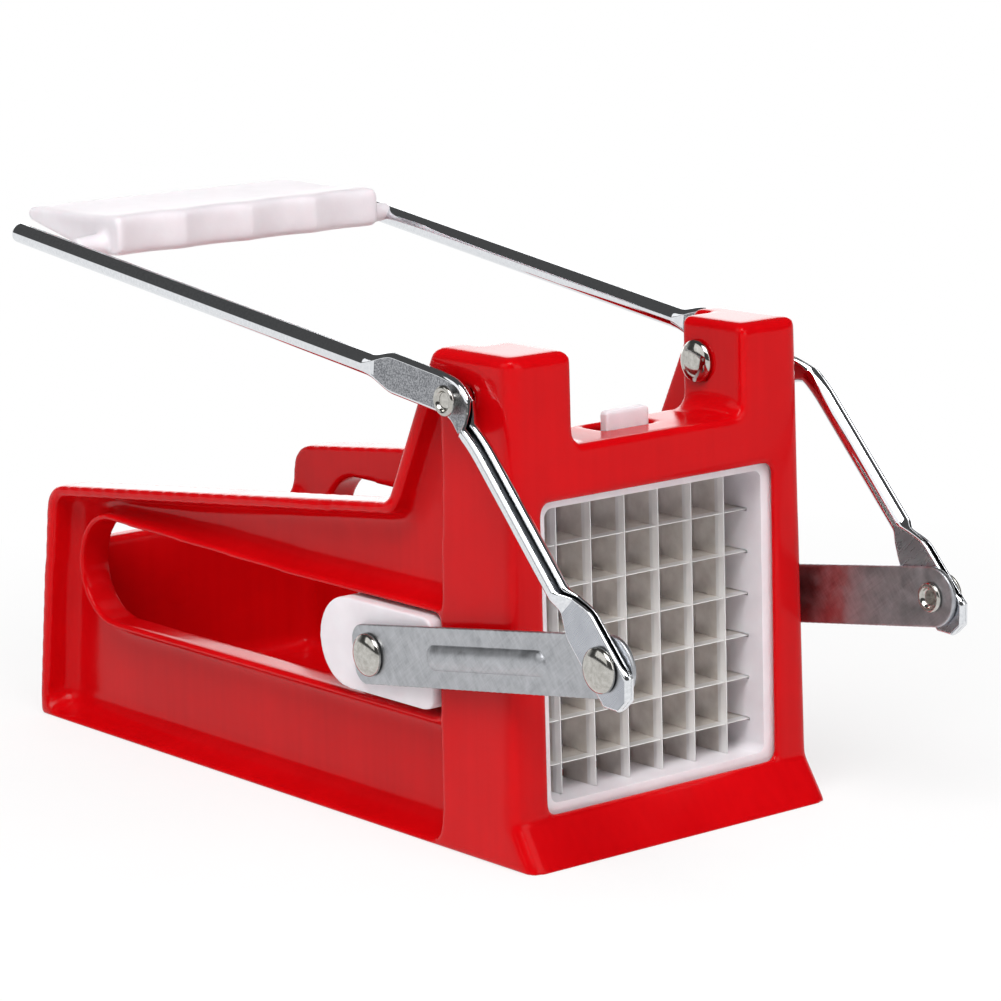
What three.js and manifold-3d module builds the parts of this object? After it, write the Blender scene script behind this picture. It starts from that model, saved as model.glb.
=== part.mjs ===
// Lever-operated potato slicer: a red moulded stand with a square blade grid in front, a pusher
// that slides in the stand and two bent levers with straps that drive it.
// Millimetres, +X is the outfeed side, +Y the left side and +Z is up.
// While it is built, x = 0 is the face of the front plate, y = 0 the middle plane and z = 0 the table.

import * as THREE from 'three';
import { mergeVertices } from 'three/addons/utils/BufferGeometryUtils.js';
import Module from 'manifold-3d';

const wasm = await Module();
wasm.setup();

// Fits shared by many pieces
const overrun = 4;              // how far a cutting solid runs past the face it cuts
const fit = 0.3;                // clearance between neighbouring pieces
const bladeFit = 0.2;           // clearance of a blade in its groove and in the blade it crosses
const runningFit = 0.8;         // clearance of the pusher in the chamber

// Blade grid
const bladeCount = 6;
const bladePitch = 12.2;
const edgeCell = 8.7;           // outermost upright blade to the cartridge's frame
const lowCell = 8.5;            // lowest level blade to the cartridge's frame
const topCell = 12.2;           // highest level blade to the cartridge's frame
const bladeThickness = 0.6;
const bladeDepth = 14;
const bladeInset = 9;           // front face to the blades' front edges
const bladeSeat = 2.6;          // how deep a blade's end sits in the frame
const bladeBevel = 2;
const bladeEdge = 0.2;

// White cartridge that holds the grid
const cartridgeGap = 0.3;       // front plate to cartridge
const cartridgeDepth = 20.4;
const cartridgeBase = 9.5;
const cartridgeSill = 5.9;      // lower bar of the frame
const cartridgeHead = 6.9;      // upper bar
const cartridgeStile = 5.8;     // upright bars
const windowRadius = 2.5;

// Red stand, outside
const standDepth = 243.3;       // front face to the rear edge at the table
const rearLean = 9.8;           // how far the rear edge leans forward up to the rail
const channelDepth = 12.8;      // chamber to the outer face at the table
const draft = 2.55;             // how far the outer face leans in up to the tower tops
const crossbarRise = 9.6;       // cartridge to the top of the crossbar
const crossbarDepth = 25.5;
const towerRise = 25.9;         // crossbar to the tower tops
const towerDepth = 33.1;        // front face to the rear corner of the tower top
const towerWidth = 24.3;        // inner face to the outer face at the table
const gussetDepth = 56.4;       // front face to the foot of the slanted rim
const gussetDrop = 45.9;        // tower top to the foot of the slanted rim
const railFall = 18.6;          // how far the rail drops towards the rear
const railRadius = 9;
const edgeRadius = 3;
const frontRadius = 4;
const flareReach = 7.9;         // how far the sill flares out in front
const flareHeight = 12.5;

// Red stand, walls
const chamberReveal = 2.8;      // grid to the chamber's side wall
const webWall = 2.4;
const rimWall = 3;
const rearRimWall = 4.5;
const plateWall = 2.6;
const columnDepthBase = 32.9;
const columnDepthTop = 29.7;
const floorTop = 8.3;
const floorWall = 2.4;
const rearWallInset = 14.3;     // rear edge at the table to the inner face of the rear wall
const rearWallDrop = 19;        // rail to the top of the rear wall
const rearWallArc = 8;
const cornerRadius = 4.5;
const footRadius = 4;

// Front opening
const openingReveal = 2.7;      // grid to the opening's sides
const openingRise = 1.8;        // cartridge's window to the opening's top
const openingSink = 2.3;        // cartridge's window to the opening's base
const openingRadius = 2.5;

// Slots in the side walls
const slotFront = 32.2;         // front face to the front end of the slot
const slotRearInset = 27.2;     // rear end of the slot to the rear edge at the table
const slotBase = 36.3;
const slotHeight = 29.4;
const slotBend = 105;           // front face to where the slot's top edge starts to rise
const slotRise = 2.9;           // how much higher the slot is at its rear end
const slotEndRadius = 16;
const slotCorner = 4;           // at the front end
const collarWall = 2;
const collarInset = 1.2;        // outer face of the rim to the collar's edge, at mid height

// White release tab
const tabWidth = 15.4;
const tabDepth = 3;
const tabHoleWidth = 18.6;
const tabHoleDepth = 9;
const tabInset = 13.5;          // front face to the tab's front
const tabRise = 4.8;            // above the crossbar
const tabTravel = 3;            // how far the tab can be pressed down
const tabFoot = 1.6;            // how far the latch foot reaches out at the front
const tabRadius = 1.2;

// White pusher
const carrierFront = 46;        // front face to the carrier's front
const carrierWall = 3;
const carrierPlay = 1;          // floor to carrier
const cheekWall = 3.4;
const ribWall = 2.4;
const pegPlateWall = 2.6;
const pegLength = 18.8;
const pegGap = 1.6;             // peg to the blades or the frame beside it

// White slide blocks
const earPlay = 5.3;            // front end of the slot to the block
const earLength = 48.3;
const earBasePlay = 2.1;
const earTopPlay = 1;
const earWall = 3;
const earCorner = 3;            // at the front end
const earProud = 1.4;           // how far the block stands out past the rim
const earBoss = 1.3;            // seat of the strap on the block

// Steel straps
const pinInset = 20.6;          // front end of the slide block to the pusher pin
const pinRise = 12.7;           // base of the slide block to the pusher pin
const linkReach = 46.4;         // front face to the link pin
const linkHeight = 65.4;
const strapWidth = 17;
const strapThickness = 1.5;
const strapTail = 7.5;          // pusher pin to the strap's square end
const strapCorner = 5;
const beadStart = 27;           // pusher pin to the bead's rear end
const beadLength = 52;
const beadWidth = 9;
const beadRise = 1.4;

// Levers
const pivotDepth = 18.5;        // front face to the pivot
const pivotDrop = 12.1;         // tower top to the pivot
const gripEndDepth = 229;       // front face to the rear end of the lever
const gripEndRise = 28.4;       // pivot to the rear end of the lever
const bendDepth = 9.9;          // front face to where the lines of the two arms cross
const bendDrop = 0.5;           // pivot to where the lines of the two arms cross
const bendRadius = 75;
const tubeWidth = 6.2;
const tubeWall = 1.1;
const seamWidth = 0.8;
const paddleThickness = 3;
const flattenRun = 12;          // length over which the tube becomes flat
const pivotPaddleWidth = 11.6;
const pivotPaddleRear = 38;     // pivot to where the flattening starts on the upper arm
const pivotPaddleFront = 18;    // pivot to where the lower arm is round again
const linkPaddleWidth = 14;
const linkPaddleLength = 24;    // where the flattening starts to the link pin
const linkPaddleTip = 11.3;
const tipChamfer = 4;
const upperSplay = 4.3;         // how far the rear end stands out past the pivot paddle
const tubeSegments = 20;

// Grip
const neckGap = 0.76;           // neck to lever
const gripFront = 191;          // front face of the stand to the grip's wavy front
const gripDepth = 53;
const gripRise = 5.6;           // middle of the grip's front above the lever line there
const gripFrontThickness = 12.8;
const gripRearThickness = 4.5;
const gripRearRise = 4.4;       // rear edge centre above the lever line
const gripHollow = 1;           // how far the top is dished
const scallopCount = 4;
const scallopDepth = 1.7;
const neckLength = 8.5;
const neckWidth = 7.4;
const neckInset = 9.5;          // the grip's front to the neck's axis
const neckRise = 1.4;           // neck's axis above the lever line
const rodWidth = 4.2;

// Rivets and washers
const shankWidth = 4.4;
const domeWidth = 12.3;
const domeRise = 2.6;
const tailWidth = 8.5;
const tailRise = 1;
const washerWidth = 8;
const washerThickness = 3.2;

// Places that follow from these sizes
const windowHalf = (bladeCount - 1) / 2 * bladePitch + edgeCell;
const windowBase = cartridgeBase + cartridgeSill;
const gridHeight = windowBase + lowCell + (bladeCount - 1) / 2 * bladePitch;
const windowTop = gridHeight + (bladeCount - 1) / 2 * bladePitch + topCell;
const cartridgeTop = windowTop + cartridgeHead;
const cartridgeHalf = windowHalf + cartridgeStile;
const openingHalf = windowHalf + openingReveal;
const openingBase = windowBase - openingSink;
const openingTop = windowTop + openingRise;
const chamberHalf = windowHalf + chamberReveal;
const outerHalf = chamberHalf + channelDepth;
const towerInnerHalf = outerHalf - towerWidth;
const crossbarHeight = cartridgeTop + crossbarRise;
const towerHeight = crossbarHeight + towerRise;
const gussetHeight = towerHeight - gussetDrop;
const railRearHeight = gussetHeight - railFall;
const rearWallHeight = railRearHeight - rearWallDrop;
const pivotHeight = towerHeight - pivotDrop;
const slotRear = standDepth - slotRearInset;
const slotTop = slotBase + slotHeight;
const slotMiddle = slotBase + slotHeight / 2;
const rearWallFace = standDepth - rearWallInset;
const cartridgeFront = plateWall + cartridgeGap;
const pocketRear = cartridgeFront + cartridgeDepth + cartridgeGap;
const pocketHalf = cartridgeHalf + fit;
const collarEdge = outerHalf - draft * slotMiddle / towerHeight - collarInset;
const carrierHalf = chamberHalf - runningFit;
const carrierBase = floorTop + carrierPlay;
const carrierTop = windowTop;
const earFront = slotFront + earPlay;
const earBase = slotBase + earBasePlay;
const earTop = slotTop - earTopPlay;
const pinDepth = earFront + pinInset;
const pinHeight = earBase + pinRise;

// Three.js geometry in and out of the solid kernel

function solidOf(geometry) {
  const bare = geometry.clone();
  bare.deleteAttribute('normal');
  bare.deleteAttribute('uv');
  const merged = mergeVertices(bare);
  const mesh = new wasm.Mesh({
    numProp: 3,
    vertProperties: new Float32Array(merged.attributes.position.array),
    triVerts: new Uint32Array(merged.index.array),
  });
  return new wasm.Manifold(mesh);
}

function geometryOf(solid) {
  const mesh = solid.getMesh();
  const geometry = new THREE.BufferGeometry();
  geometry.setAttribute('position', new THREE.BufferAttribute(mesh.vertProperties, 3));
  geometry.setIndex(new THREE.BufferAttribute(mesh.triVerts, 1));
  return geometry;
}

function joined(solids) {
  return solids.reduce((sum, solid) => sum.add(solid));
}

function mirroredY(geometry) {
  const copy = geometry.clone();
  copy.scale(1, -1, 1);
  const order = copy.index.array;
  for (let corner = 0; corner < order.length; corner += 3) {
    const kept = order[corner];
    order[corner] = order[corner + 1];
    order[corner + 1] = kept;
  }
  return copy;
}

// Basic shapes

function box(x0, x1, y0, y1, z0, z1) {
  const geometry = new THREE.BoxGeometry(x1 - x0, y1 - y0, z1 - z0);
  geometry.translate((x0 + x1) / 2, (y0 + y1) / 2, (z0 + z1) / 2);
  return solidOf(geometry);
}

// An outline through corners [a, b, radius]; a corner without a radius stays sharp.
function outline(corners) {
  const shape = new THREE.Shape();
  corners.forEach(([a, b, radius = 0], index) => {
    const corner = new THREE.Vector2(a, b);
    const before = new THREE.Vector2(...corners.at(index - 1).slice(0, 2)).sub(corner);
    const after = new THREE.Vector2(...corners[(index + 1) % corners.length].slice(0, 2)).sub(corner);
    const room = Math.min(before.length(), after.length()) / 2;
    before.normalize();
    after.normalize();
    const half = Math.acos(THREE.MathUtils.clamp(before.dot(after), -1, 1)) / 2;
    const run = Math.min(radius / Math.tan(half), room);
    const start = corner.clone().addScaledVector(before, run);
    if (index === 0) shape.moveTo(start.x, start.y);
    else shape.lineTo(start.x, start.y);
    if (run === 0) return;
    const bend = run * Math.tan(half);
    const bisector = before.clone().add(after).normalize();
    const middle = corner.clone().addScaledVector(bisector, bend / Math.sin(half));
    const end = corner.clone().addScaledVector(after, run);
    const from = Math.atan2(start.y - middle.y, start.x - middle.x);
    const to = Math.atan2(end.y - middle.y, end.x - middle.x);
    shape.absarc(middle.x, middle.y, bend, from, to, before.cross(after) > 0);
  });
  return shape;
}

// Prisms: the shape's two axes become the two other world axes.
function prism(shape, length, segments) {
  const settings = { depth: length, bevelEnabled: false, curveSegments: segments };
  return new THREE.ExtrudeGeometry(shape, settings);
}

function prismX(shape, x0, x1, segments = 3) {
  const geometry = prism(shape, x1 - x0, segments);
  const axisX = new THREE.Vector3(1, 0, 0);
  const axisY = new THREE.Vector3(0, 1, 0);
  const axisZ = new THREE.Vector3(0, 0, 1);
  geometry.applyMatrix4(new THREE.Matrix4().makeBasis(axisY, axisZ, axisX));
  geometry.translate(x0, 0, 0);
  return solidOf(geometry);
}

function prismY(shape, y0, y1, segments = 3) {
  const geometry = prism(shape, y1 - y0, segments);
  geometry.rotateX(Math.PI / 2);
  geometry.translate(0, y1, 0);
  return solidOf(geometry);
}

function prismZ(shape, z0, z1, segments = 3) {
  const geometry = prism(shape, z1 - z0, segments);
  geometry.translate(0, 0, z0);
  return geometry;
}

// A round bar along Y at (x, z)
function barY(x, z, width, y0, y1, segments = 20) {
  const geometry = new THREE.CylinderGeometry(width / 2, width / 2, y1 - y0, segments);
  geometry.translate(x, (y0 + y1) / 2, z);
  return solidOf(geometry);
}

function rectangle(a0, a1, b0, b1, radius = 0) {
  return outline([[a0, b0, radius], [a1, b0, radius], [a1, b1, radius], [a0, b1, radius]]);
}

// Which way round a ring of points runs, seen along a direction
function turnsAlong(ring, direction) {
  const area = new THREE.Vector3();
  ring.forEach((point, index) => {
    area.add(point.clone().cross(ring[(index + 1) % ring.length]));
  });
  return area.dot(direction) > 0;
}

// A closed body through rings of equal point counts, with flat ends
function loft(stations) {
  const count = stations[0].length;
  const forward = stations.at(-1)[0].clone().sub(stations[0][0]);
  const rings = turnsAlong(stations[0], forward) ? stations : [...stations].reverse();
  const points = rings.flat();
  const order = [];
  for (let ring = 0; ring + 1 < rings.length; ring += 1) {
    for (let side = 0; side < count; side += 1) {
      const next = (side + 1) % count;
      const a = ring * count + side;
      const b = ring * count + next;
      order.push(a, b, b + count, a, b + count, a + count);
    }
  }
  const last = (rings.length - 1) * count;
  for (let side = 1; side + 1 < count; side += 1) {
    order.push(0, side + 1, side, last, last + side, last + side + 1);
  }
  const geometry = new THREE.BufferGeometry().setFromPoints(points);
  geometry.setIndex(order);
  return solidOf(geometry);
}

// Red stand

function outerHalfAt(height) {
  return outerHalf - draft * height / towerHeight;
}

// The stand's outer envelope: the side view, the drafted plan and the front view's rounded top
function standEnvelope() {
  const side = outline([
    [-standDepth, 0],
    [flareReach, 0],
    [0, flareHeight],
    [0, towerHeight, edgeRadius],
    [-towerDepth, towerHeight, edgeRadius],
    [-gussetDepth, gussetHeight, cornerRadius],
    [rearLean - standDepth, railRearHeight, railRadius],
  ]);
  const plan = outline([
    [-standDepth, -outerHalf, edgeRadius],
    [flareReach, -outerHalf],
    [flareReach, outerHalf],
    [-standDepth, outerHalf, edgeRadius],
  ]);
  const drafted = prismZ(plan, 0, towerHeight + overrun);
  const places = drafted.attributes.position;
  for (let index = 0; index < places.count; index += 1) {
    const lean = outerHalfAt(places.getZ(index)) / outerHalf;
    places.setY(index, places.getY(index) * lean);
  }
  const topHalf = outerHalfAt(towerHeight);
  const front = outline([
    [-outerHalf - overrun, -overrun],
    [outerHalf + overrun, -overrun],
    [outerHalf + overrun, gussetHeight],
    [topHalf, gussetHeight],
    [topHalf, towerHeight, edgeRadius],
    [-topHalf, towerHeight, edgeRadius],
    [-topHalf, gussetHeight],
    [-outerHalf - overrun, gussetHeight],
  ]);
  const wide = prismY(side, -outerHalf - overrun, outerHalf + overrun);
  const rounded = prismX(front, -standDepth - overrun, flareReach + overrun);
  return solidOf(drafted).intersect(wide).intersect(rounded);
}

// What rounds one of the upright front corners, following the flare and the draft
function frontCorner(side) {
  const steps = 5;
  const heights = [-overrun, flareHeight, towerHeight + overrun];
  const rings = heights.map((height) => {
    const reach = flareReach * Math.max(0, flareHeight - height) / flareHeight;
    const half = outerHalfAt(height);
    const arc = Array.from({ length: steps + 1 }, (_, step) => {
      const angle = Math.PI / 2 * (1 - step / steps);
      return [frontRadius * (Math.cos(angle) - 1), half + frontRadius * (Math.sin(angle) - 1)];
    });
    const section = [
      [overrun, half + overrun],
      [-frontRadius, half + overrun],
      ...arc,
      [overrun, half - frontRadius],
    ];
    return section.map(([x, y]) => new THREE.Vector3(x + reach, side * y, height));
  });
  return loft(rings);
}

// The hollow outside each side web, between the rail, the slanted rim, the column and the foot
function sideRecess(side) {
  const lean = (towerDepth - gussetDepth) / (towerHeight - gussetHeight);
  const slant = Math.hypot(1, lean);
  const innerFoot = gussetDepth - rimWall * slant;
  const innerHeight = gussetHeight - rimWall;
  const rearBase = standDepth - rearRimWall;
  const columnLean = (columnDepthBase - columnDepthTop) / towerHeight;
  const peakDepth = towerDepth - rimWall;
  const peakHeight = towerHeight - rimWall * slant;
  const shape = outline([
    [-rearBase, rimWall, cornerRadius],
    [-columnDepthBase + columnLean * rimWall, rimWall, cornerRadius],
    [-columnDepthTop - plateWall / 2, peakHeight - edgeRadius, edgeRadius / 2],
    [-peakDepth - plateWall / 2, peakHeight - edgeRadius, edgeRadius / 2],
    [-innerFoot, innerHeight, cornerRadius],
    [rearLean - rearBase, railRearHeight - rimWall, railRadius - rimWall],
  ]);
  const inner = chamberHalf + webWall;
  const outer = outerHalf + overrun;
  return side > 0 ? prismY(shape, inner, outer) : prismY(shape, -outer, -inner);
}

// The slot with its round, higher rear end, grown all round by a margin
function slotSolid(margin, y0, y1) {
  const rear = -slotRear - margin;
  const front = margin - slotFront;
  const base = slotBase - margin;
  const top = slotTop + margin;
  const shape = outline([
    [rear, base, slotEndRadius + margin],
    [front, base, slotCorner + margin],
    [front, top, slotCorner + margin],
    [-slotBend, top],
    [rear, top + slotRise, slotEndRadius + margin],
  ]);
  return prismY(shape, y0, y1, 9);
}

function chamberHollow() {
  const half = chamberHalf;
  const pocketTop = cartridgeTop + cartridgeGap;
  const floorBase = floorTop - floorWall;
  const over = towerHeight + overrun;
  const chamber = box(-rearWallFace, -crossbarDepth, -half, half, floorTop, over);
  const pocket = box(-pocketRear, -plateWall, -pocketHalf, pocketHalf, -overrun, pocketTop);
  const mouth = box(-crossbarDepth - overrun, -pocketRear + fit, -half, half, floorTop, openingTop);
  const underFloor = box(-rearWallFace, -pocketRear - webWall, -half, half, -overrun, floorBase);
  const square = rectangle(-openingHalf, openingHalf, openingBase, openingTop, openingRadius);
  const opening = prismX(square, -plateWall - overrun, overrun);
  return joined([chamber, pocket, mouth, underFloor, opening]);
}

// The gap between the towers, with rounded feet and rounded upper edges
function towerGap() {
  const shape = outline([
    [-towerInnerHalf, crossbarHeight, footRadius],
    [towerInnerHalf, crossbarHeight, footRadius],
    [towerInnerHalf, towerHeight, edgeRadius],
    [towerInnerHalf + overrun, towerHeight],
    [towerInnerHalf + overrun, towerHeight + overrun],
    [-towerInnerHalf - overrun, towerHeight + overrun],
    [-towerInnerHalf - overrun, towerHeight],
    [-towerInnerHalf, towerHeight, edgeRadius],
  ]);
  return prismX(shape, -crossbarDepth - overrun, overrun);
}

// The hollows of the towers and the crossbar, open below
function towerHollows() {
  const front = -plateWall;
  const rear = plateWall - crossbarDepth;
  const inner = towerInnerHalf + plateWall;
  const outer = outerHalfAt(towerHeight) - plateWall;
  const top = towerHeight - plateWall;
  const barTop = crossbarHeight - plateWall;
  const bar = box(rear, front, -chamberHalf, chamberHalf, openingTop - overrun, barTop);
  const left = box(rear, front, inner, outer, openingTop, top);
  const right = box(rear, front, -outer, -inner, openingTop, top);
  return joined([bar, left, right]);
}

// The column's own hollow beside the cartridge, open below
function columnHollow(side) {
  const inner = pocketHalf + webWall;
  const outer = outerHalfAt(towerHeight) - plateWall;
  const rear = plateWall - columnDepthTop;
  const y0 = side > 0 ? inner : -outer;
  const y1 = side > 0 ? outer : -inner;
  return box(rear, -plateWall, y0, y1, -overrun, towerHeight - plateWall);
}

// The wedge behind the flared sill, open below
function sillHollow() {
  const shape = outline([
    [-plateWall - overrun, -overrun],
    [flareReach - plateWall + flareReach * overrun / flareHeight, -overrun],
    [-plateWall, flareHeight],
    [-plateWall - overrun, flareHeight],
  ]);
  const half = pocketHalf;
  return prismY(shape, -half, half);
}

// Behind the rear wall: a hollow with rims, and the lower top edge that sweeps up to the rails
function rearHollow() {
  const reach = standDepth + overrun;
  const hollow = box(
    -reach, -rearWallFace - plateWall, -chamberHalf, chamberHalf, rimWall, rearWallHeight - rimWall);
  const over = towerHeight + overrun;
  const sweep = outline([
    [-chamberHalf, over],
    [-chamberHalf, rearWallHeight, rearWallArc],
    [chamberHalf, rearWallHeight, rearWallArc],
    [chamberHalf, over],
  ]);
  return hollow.add(prismX(sweep, -reach, -rearWallFace + fit, 4));
}

function tabHole() {
  const half = tabHoleWidth / 2;
  const front = fit - tabInset;
  return box(front - tabHoleDepth, front, -half, half, openingTop, crossbarHeight + overrun);
}

function collar(side) {
  const y0 = side > 0 ? chamberHalf : -collarEdge;
  const y1 = side > 0 ? collarEdge : -chamberHalf;
  return slotSolid(collarWall, y0, y1);
}

function standSolid() {
  const wide = outerHalf + overrun;
  const bores = [1, -1].map((side) => {
    const y0 = side > 0 ? towerInnerHalf - overrun : -wide;
    const y1 = side > 0 ? wide : overrun - towerInnerHalf;
    return barY(-pivotDepth, pivotHeight, shankWidth + 2 * fit, y0, y1);
  });
  const cuts = joined([
    chamberHollow(), towerGap(), towerHollows(), sillHollow(), rearHollow(), tabHole(),
    columnHollow(1), columnHollow(-1), sideRecess(1), sideRecess(-1), frontCorner(1), frontCorner(-1),
  ]);
  return standEnvelope()
    .subtract(cuts)
    .add(collar(1))
    .add(collar(-1))
    .subtract(slotSolid(0, -wide, wide))
    .subtract(joined(bores));
}

// White cartridge: the blade frame, the blades and the release tab

function bladePlaces() {
  return Array.from({ length: bladeCount }, (_, index) => (index - (bladeCount - 1) / 2) * bladePitch);
}

function grooves() {
  const half = bladeThickness / 2 + bladeFit;
  const seat = bladeSeat + bladeFit;
  const reach = windowHalf + seat;
  const x0 = -bladeInset - bladeDepth - bladeFit;
  const x1 = bladeFit - bladeInset;
  const cuts = bladePlaces().flatMap((place) => [
    box(x0, x1, place - half, place + half, windowBase - seat, windowTop + seat),
    box(x0, x1, -reach, reach, gridHeight + place - half, gridHeight + place + half),
  ]);
  return joined(cuts);
}

function cartridgeSolid() {
  const rim = rectangle(
    -cartridgeHalf, cartridgeHalf, cartridgeBase, cartridgeTop, openingRadius);
  const window = rectangle(-windowHalf, windowHalf, windowBase, windowTop, windowRadius);
  const rear = -cartridgeFront - cartridgeDepth;
  return prismX(rim, rear, -cartridgeFront)
    .subtract(prismX(window, rear - overrun, overrun))
    .subtract(grooves());
}

// A blade's cross-section along its depth: a one-sided bevel in front, a pointed edge behind
function bladeSection() {
  const half = bladeThickness / 2;
  const front = -bladeInset;
  const rear = front - bladeDepth;
  return outline([
    [front, half],
    [front - bladeBevel, half],
    [rear + bladeBevel, half],
    [rear, bladeEdge / 2],
    [rear, -bladeEdge / 2],
    [rear + bladeBevel, -half],
    [front - bladeBevel, -half],
    [front, half - bladeEdge],
  ]);
}

function bladeSolid(place, upright) {
  const reach = windowHalf + bladeSeat;
  const notch = bladeThickness / 2 + bladeFit;
  const middle = -bladeInset - bladeDepth / 2;
  const notchRear = -bladeInset - bladeDepth - overrun;
  if (upright) {
    const base = prismZ(bladeSection(), windowBase - bladeSeat, windowTop + bladeSeat);
    base.translate(0, place, 0);
    const slits = bladePlaces().map((height) => box(
      notchRear, middle + bladeFit / 2, place - overrun, place + overrun,
      gridHeight + height - notch, gridHeight + height + notch));
    return solidOf(base).subtract(joined(slits));
  }
  const base = prism(bladeSection(), 2 * reach, 1);
  base.rotateX(Math.PI / 2);
  base.translate(0, reach, gridHeight + place);
  const slits = bladePlaces().map((across) => box(
    middle - bladeFit / 2, overrun, across - notch, across + notch,
    gridHeight + place - overrun, gridHeight + place + overrun));
  return solidOf(base).subtract(joined(slits));
}

function tabSolid() {
  const top = crossbarHeight + tabRise;
  const low = cartridgeTop + fit + tabTravel;
  const front = -tabInset;
  const rear = front - tabDepth;
  const half = tabWidth / 2;
  const stem = prismX(rectangle(-half, half, low, top, tabRadius), rear, front);
  const footTop = crossbarHeight - plateWall - fit;
  const foot = box(front - fit, front + tabFoot, -half, half, low, footTop);
  return stem.add(foot);
}

// White pusher: carrier, pegs and slide blocks

function carrierSolid() {
  const front = -carrierFront;
  const rear = front - carrierWall;
  const top = carrierTop;
  const tail = -earFront - earLength;
  const wall = box(rear, front, -carrierHalf, carrierHalf, carrierBase, top);
  const cheeks = [1, -1].map((side) => {
    const y0 = side > 0 ? carrierHalf - cheekWall : -carrierHalf;
    return box(tail, front, y0, y0 + cheekWall, earBase, earTop);
  });
  const ribShape = outline([
    [rear, carrierBase],
    [rear, top],
    [rear - ribWall, top],
    [tail, earTop],
    [tail, earBase],
    [rear - ribWall, carrierBase],
  ]);
  const ribs = [-1, 1].map((side) => {
    const middle = side * carrierHalf / 3;
    return prismY(ribShape, middle - ribWall / 2, middle + ribWall / 2);
  });
  const bridge = box(tail, rear, -carrierHalf, carrierHalf, earBase, earBase + ribWall);
  const wide = carrierHalf + overrun;
  const bore = barY(-pinDepth, pinHeight, shankWidth + 2 * fit, -wide, wide);
  return joined([wall, ...cheeks, ...ribs, bridge]).subtract(bore);
}

function pegPlateSolid() {
  const rear = -carrierFront + fit;
  const face = rear + pegPlateWall;
  const half = windowHalf - runningFit;
  const plate = box(
    rear, face, -half, half, windowBase + runningFit, windowTop - runningFit);
  const last = bladeCount / 2;
  const pegs = [];
  for (let column = -last; column <= last; column += 1) {
    for (let row = -last; row <= last; row += 1) {
      const [y, halfY] = pegPlace(column, last, edgeCell, edgeCell);
      const [z, halfZ] = pegPlace(row, last, lowCell, topCell);
      const height = gridHeight + z;
      pegs.push(box(
        face - fit, face + pegLength, y - halfY, y + halfY, height - halfZ, height + halfZ));
    }
  }
  return joined([plate, ...pegs]);
}

// Middle and half width of a peg: the outer cells lie between the last blade and the frame
function pegPlace(index, last, firstCell, lastCell) {
  if (Math.abs(index) < last) return [index * bladePitch, bladePitch / 2 - pegGap];
  const cell = index < 0 ? firstCell : lastCell;
  const lastBlade = (last - 1 / 2) * bladePitch;
  return [Math.sign(index) * (lastBlade + cell / 2), cell / 2 - pegGap];
}

// Round at the rear, nearly square in front
function earShape(rear, front, base, top, radius) {
  return outline([
    [rear, base, radius],
    [front, base, earCorner],
    [front, top, earCorner],
    [rear, top, radius],
  ]);
}

function earSolid() {
  const inner = carrierHalf + fit;
  const outer = outerHalfAt(slotMiddle) + earProud;
  const rear = -earFront - earLength;
  const earHeight = earTop - earBase;
  const block = prismY(earShape(rear, -earFront, earBase, earTop, earHeight / 2), inner, outer, 8);
  const bay = earShape(
    rear + earWall, -earFront - earWall, earBase + earWall, earTop - earWall, earHeight / 2 - earWall);
  const hollow = prismY(bay, inner - overrun, outer - earWall, 8);
  const boss = barY(-pinDepth, pinHeight, domeWidth, inner, outer + earBoss, 24);
  const bore = barY(-pinDepth, pinHeight, shankWidth + 2 * fit, inner - overrun, outer + overrun);
  return block.subtract(hollow).add(boss).subtract(bore);
}

// Straps

const earFace = outerHalfAt(slotMiddle) + earProud;
const strapInner = earFace + earBoss + fit;
const strapOuter = strapInner + strapThickness;
const strapRun = Math.hypot(pinDepth + linkReach, linkHeight - pinHeight);
const strapAngle = Math.atan2(linkHeight - pinHeight, pinDepth + linkReach);

// Puts a solid made with the pusher pin at the origin and the link pin on +X in its place
function placedOnStrap(geometry) {
  geometry.rotateY(-strapAngle);
  geometry.translate(-pinDepth, 0, pinHeight);
  return geometry;
}

function strapSolid() {
  const half = strapWidth / 2;
  const tip = strapRun + half;
  const blank = prismY(outline([
    [-strapTail, -half, strapCorner],
    [tip, -half, half],
    [tip, half, half],
    [-strapTail, half, strapCorner],
  ]), strapInner, strapOuter, 8);
  const beadHalf = beadWidth / 2;
  const beadEnd = beadStart + beadLength;
  const rings = [
    stadium(beadStart, beadEnd, beadHalf, strapOuter - fit),
    stadium(beadStart + beadRise, beadEnd - beadRise, beadHalf - beadRise, strapOuter + beadRise),
  ];
  const boreWidth = shankWidth + 2 * fit;
  const bores = [0, strapRun].map(
    (x) => barY(x, 0, boreWidth, strapInner - overrun, strapOuter + overrun));
  const solid = blank.add(loft(rings)).subtract(joined(bores));
  return placedOnStrap(geometryOf(solid));
}

// A ring of points round a stadium outline in a plane of constant y
function stadium(x0, x1, half, y, steps = 8) {
  const points = [];
  for (let step = 0; step <= steps; step += 1) {
    const angle = Math.PI / 2 - Math.PI * step / steps;
    points.push(new THREE.Vector3(x1 - half + half * Math.cos(angle), y, half * Math.sin(angle)));
  }
  for (let step = 0; step <= steps; step += 1) {
    const angle = -Math.PI / 2 - Math.PI * step / steps;
    points.push(new THREE.Vector3(x0 + half + half * Math.cos(angle), y, half * Math.sin(angle)));
  }
  return points;
}

// Levers

const washerInner = outerHalfAt(pivotHeight) + fit;
const pivotPaddleInner = washerInner + washerThickness + fit;
const pivotPaddleMiddle = pivotPaddleInner + paddleThickness / 2;
const linkPaddleMiddle = strapOuter + fit + paddleThickness / 2;
const leverEndY = pivotPaddleMiddle + upperSplay;

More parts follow.
